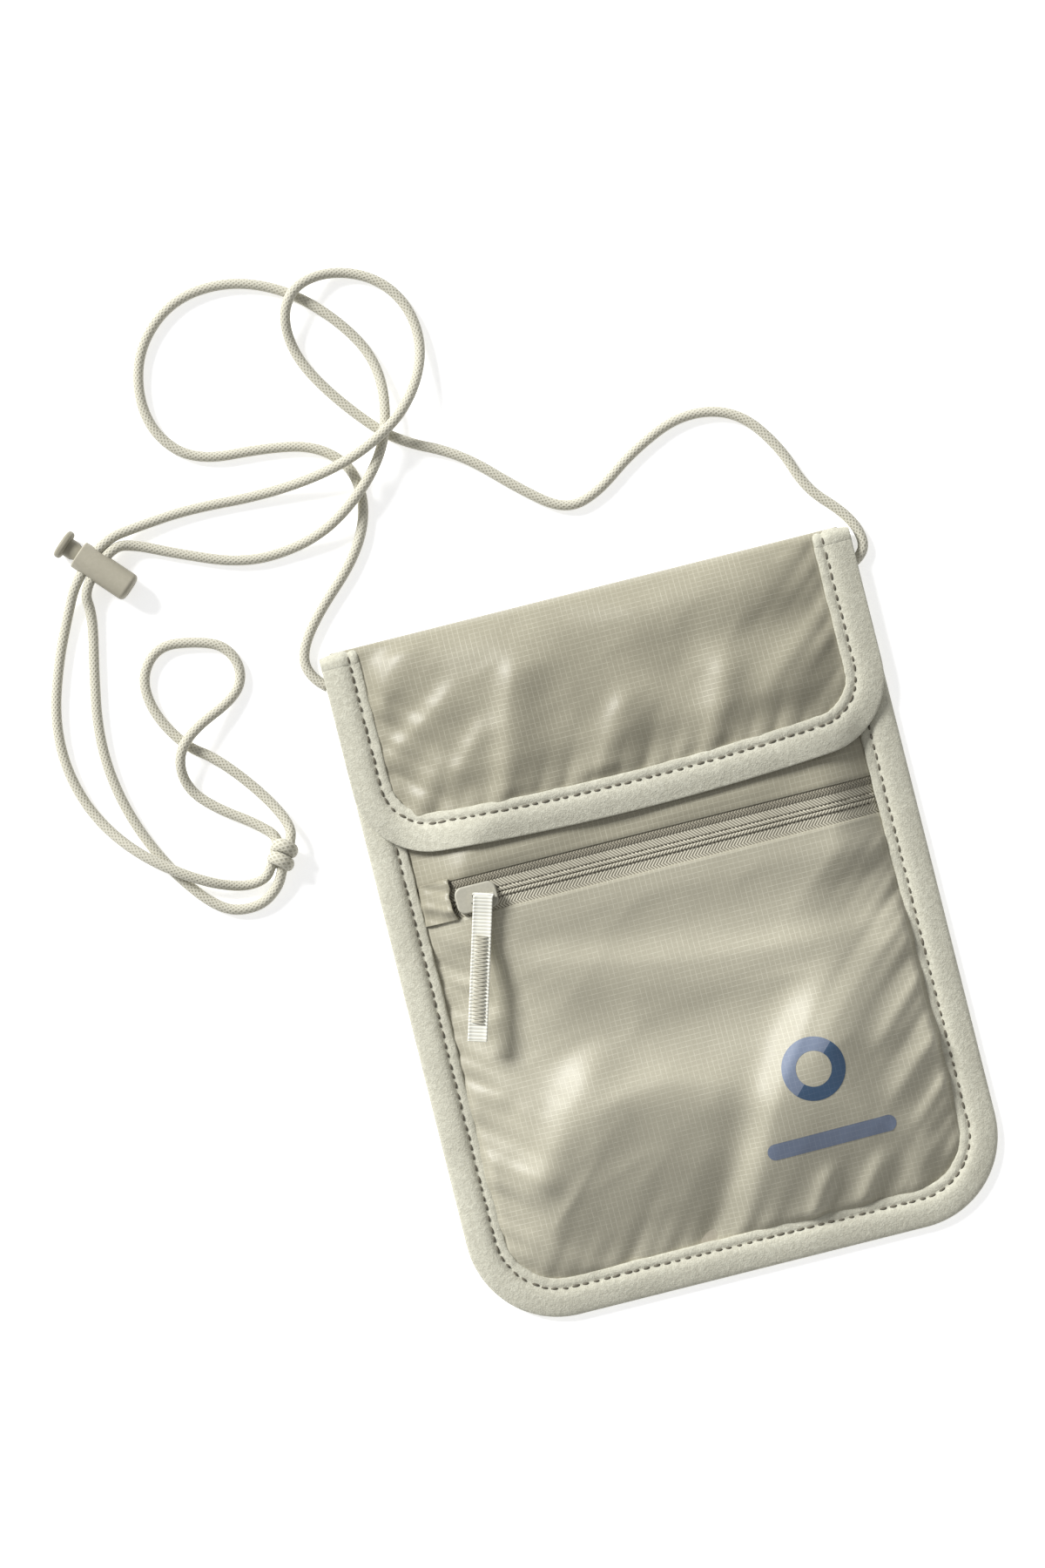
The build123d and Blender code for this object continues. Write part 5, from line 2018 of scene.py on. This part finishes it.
@dataclass(frozen=True)
class FrontPrint:
    """A plain printed ring with a short bar below it, lying on the front fabric."""

    ring_centre: tuple[float, float] = (27.0, -42.5)
    ring_radii: tuple[float, float] = (4.6, 8.2)
    bar_centre: tuple[float, float] = (27.5, -61.0)
    bar_size: tuple[float, float] = (34.0, 4.2)
    lift: float = 0.06

    def lay(
        self, name: str, x: Array, y: Array, finish: Finish, workshop: Workshop, flip: bool = False
    ) -> bpy.types.Object:
        """A patch of print over the fabric's own height.

        Args:
            name: The piece's name.
            x: Places across the pouch.
            y: Places along the pouch.
            finish: The ink.
            workshop: The finishes.
            flip: Turns the faces round.

        Returns:
            The piece.
        """
        points = np.stack([x, y, FORM.front(x, y) + self.lift], -1)
        patch = surface(name, points, np.stack([x, y], -1) * MM, flip=flip)
        workshop.dress(patch, finish, "fabric")
        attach(patch, "pouch")
        return patch

    def build(self, workshop: Workshop) -> list[bpy.types.Object]:
        """Two half rings in two inks, and the bar.

        Args:
            workshop: The finishes.

        Returns:
            The pieces.
        """
        made = []
        radius = np.linspace(*self.ring_radii, 10)
        for name, start, finish in (
            ("print_ring_pale", 0.25, PRINT_PALE), ("print_ring_deep", 1.25, PRINT_DEEP)
        ):
            angle = np.linspace(start * math.pi, (start + 1.0) * math.pi, 60)
            turn, reach = np.meshgrid(angle, radius)
            x = self.ring_centre[0] + reach * np.cos(turn)
            y = self.ring_centre[1] + reach * np.sin(turn)
            made.append(self.lay(name, x, y, finish, workshop, flip=True))
        half, end = self.bar_size[1] / 2.0, self.bar_size[0] / 2.0
        u = end * np.sin(np.linspace(-0.5 * math.pi, 0.5 * math.pi, 90))
        over = np.maximum(np.abs(u) - (end - half), 0.0)
        tall = np.sqrt(np.maximum(half**2 - over**2, 0.0))
        share = np.linspace(-1.0, 1.0, 9)
        x = self.bar_centre[0] + np.broadcast_to(u[None], (9, 90))
        y = self.bar_centre[1] + share[:, None] * tall[None]
        made.append(self.lay("print_bar", x, y, PRINT_PALE, workshop))
        return made


class Fittings:
    """The pieces that keep their frame shape and take a finish, and the lock's small end disc."""

    def __init__(self, workshop: Workshop, nodes: dict[str, bpy.types.Object]) -> None:
        """Keeps the finishes and the frame's nodes."""
        self.workshop = workshop
        self.nodes = nodes

    def build(self) -> list[bpy.types.Object]:
        """Dresses the kept pieces and adds the disc.

        Returns:
            The new pieces.
        """
        finishes = {
            "lock_barrel": LOCK,
            "lock_plunger": BUTTON,
            "lock_spring": WIRE,
            "slider_body": PAINT,
            "loop_patch": HOOK,
            "flap_hook_patch": HOOK,
        }
        for name, finish in finishes.items():
            self.workshop.dress(self.nodes[name], finish)
        return [self.end_disc()]

    def end_disc(self) -> bpy.types.Object:
        """A shallow moulded disc on the barrel's far end, turned from a small profile."""
        angle = math.radians(-47.8)
        axis = np.array([math.cos(angle), math.sin(angle), 0.0])
        side = np.array([-axis[1], axis[0], 0.0])
        centre = np.array([-123.09, 130.41, 3.75]) + axis * 16.2
        profile = np.array(
            [
                [0.0, 0.12], [1.0, 0.12], [1.25, 0.1], [1.45, 0.02], [1.5, -0.15],
                [1.75, -0.15], [1.9, 0.05], [2.1, -0.2], [0.0, -0.4],
            ]
        )
        turn = np.linspace(0.0, 2.0 * math.pi, 32, endpoint=False)
        ring = side * np.cos(turn)[:, None] + np.array([0.0, 0.0, 1.0]) * np.sin(turn)[:, None]
        points = centre + axis * profile[:, None, 1:] + ring[None] * np.maximum(profile[:, None, :1], 0.01)
        disc = surface("lock_end_disc", points, close_columns=True, caps=True, flip=True)
        self.workshop.dress(disc, LOCK, "lock_plastic")
        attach(disc, "lock")
        return disc


# ---------------------------------------------------------------- the whole


def report(pieces: list[bpy.types.Object], sub_assembly: str) -> None:
    """Logs each piece of a sub-assembly.

    Args:
        pieces: The pieces.
        sub_assembly: Its name.
    """
    for piece in pieces:
        LOG.info("%s: %s, %d faces", sub_assembly, piece.name, len(piece.data.polygons))


def main() -> None:
    """Builds the studio, the cords and every sub-assembly."""
    logging.basicConfig(level=logging.INFO, format="%(message)s")
    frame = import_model()
    workshop = Workshop()
    studio = Studio()
    studio.camera()
    report(NeckCord(workshop, frame["nodes"]).build(), "neck cord")
    studio.light()
    studio.floor()
    report(Panels(workshop).build(), "fabric")
    body_edge = Edge.around(FORM, FORM.corner, -FORM.half_length, 84.5, 0.0)
    flap_edge = Edge.around(FORM, FORM.flap_corner, FORM.half_length - FORM.flap_length, 86.8, 2.0)
    body = Binding("body_tape", body_edge, (0.0, 0.0), (3.0, 10.2), False, "pouch", "body_binding", 11)
    flap = Binding("flap_tape", flap_edge, (3.35, 10.45), (5.2, 12.1), True, "flap", "flap_binding", 21)
    report(body.build(workshop), "body binding")
    report(flap.build(workshop), "flap binding")
    report([*CornerTurn(-1).build(workshop), *CornerTurn(1).build(workshop)], "top corners")
    report(Zip().build(workshop), "zip")
    report(RibbonPull().build(workshop), "pull")
    report(FrontPrint().build(workshop), "print")
    report(Fittings(workshop, frame["nodes"]).build(), "fittings")


if __name__ == "__main__":
    main()
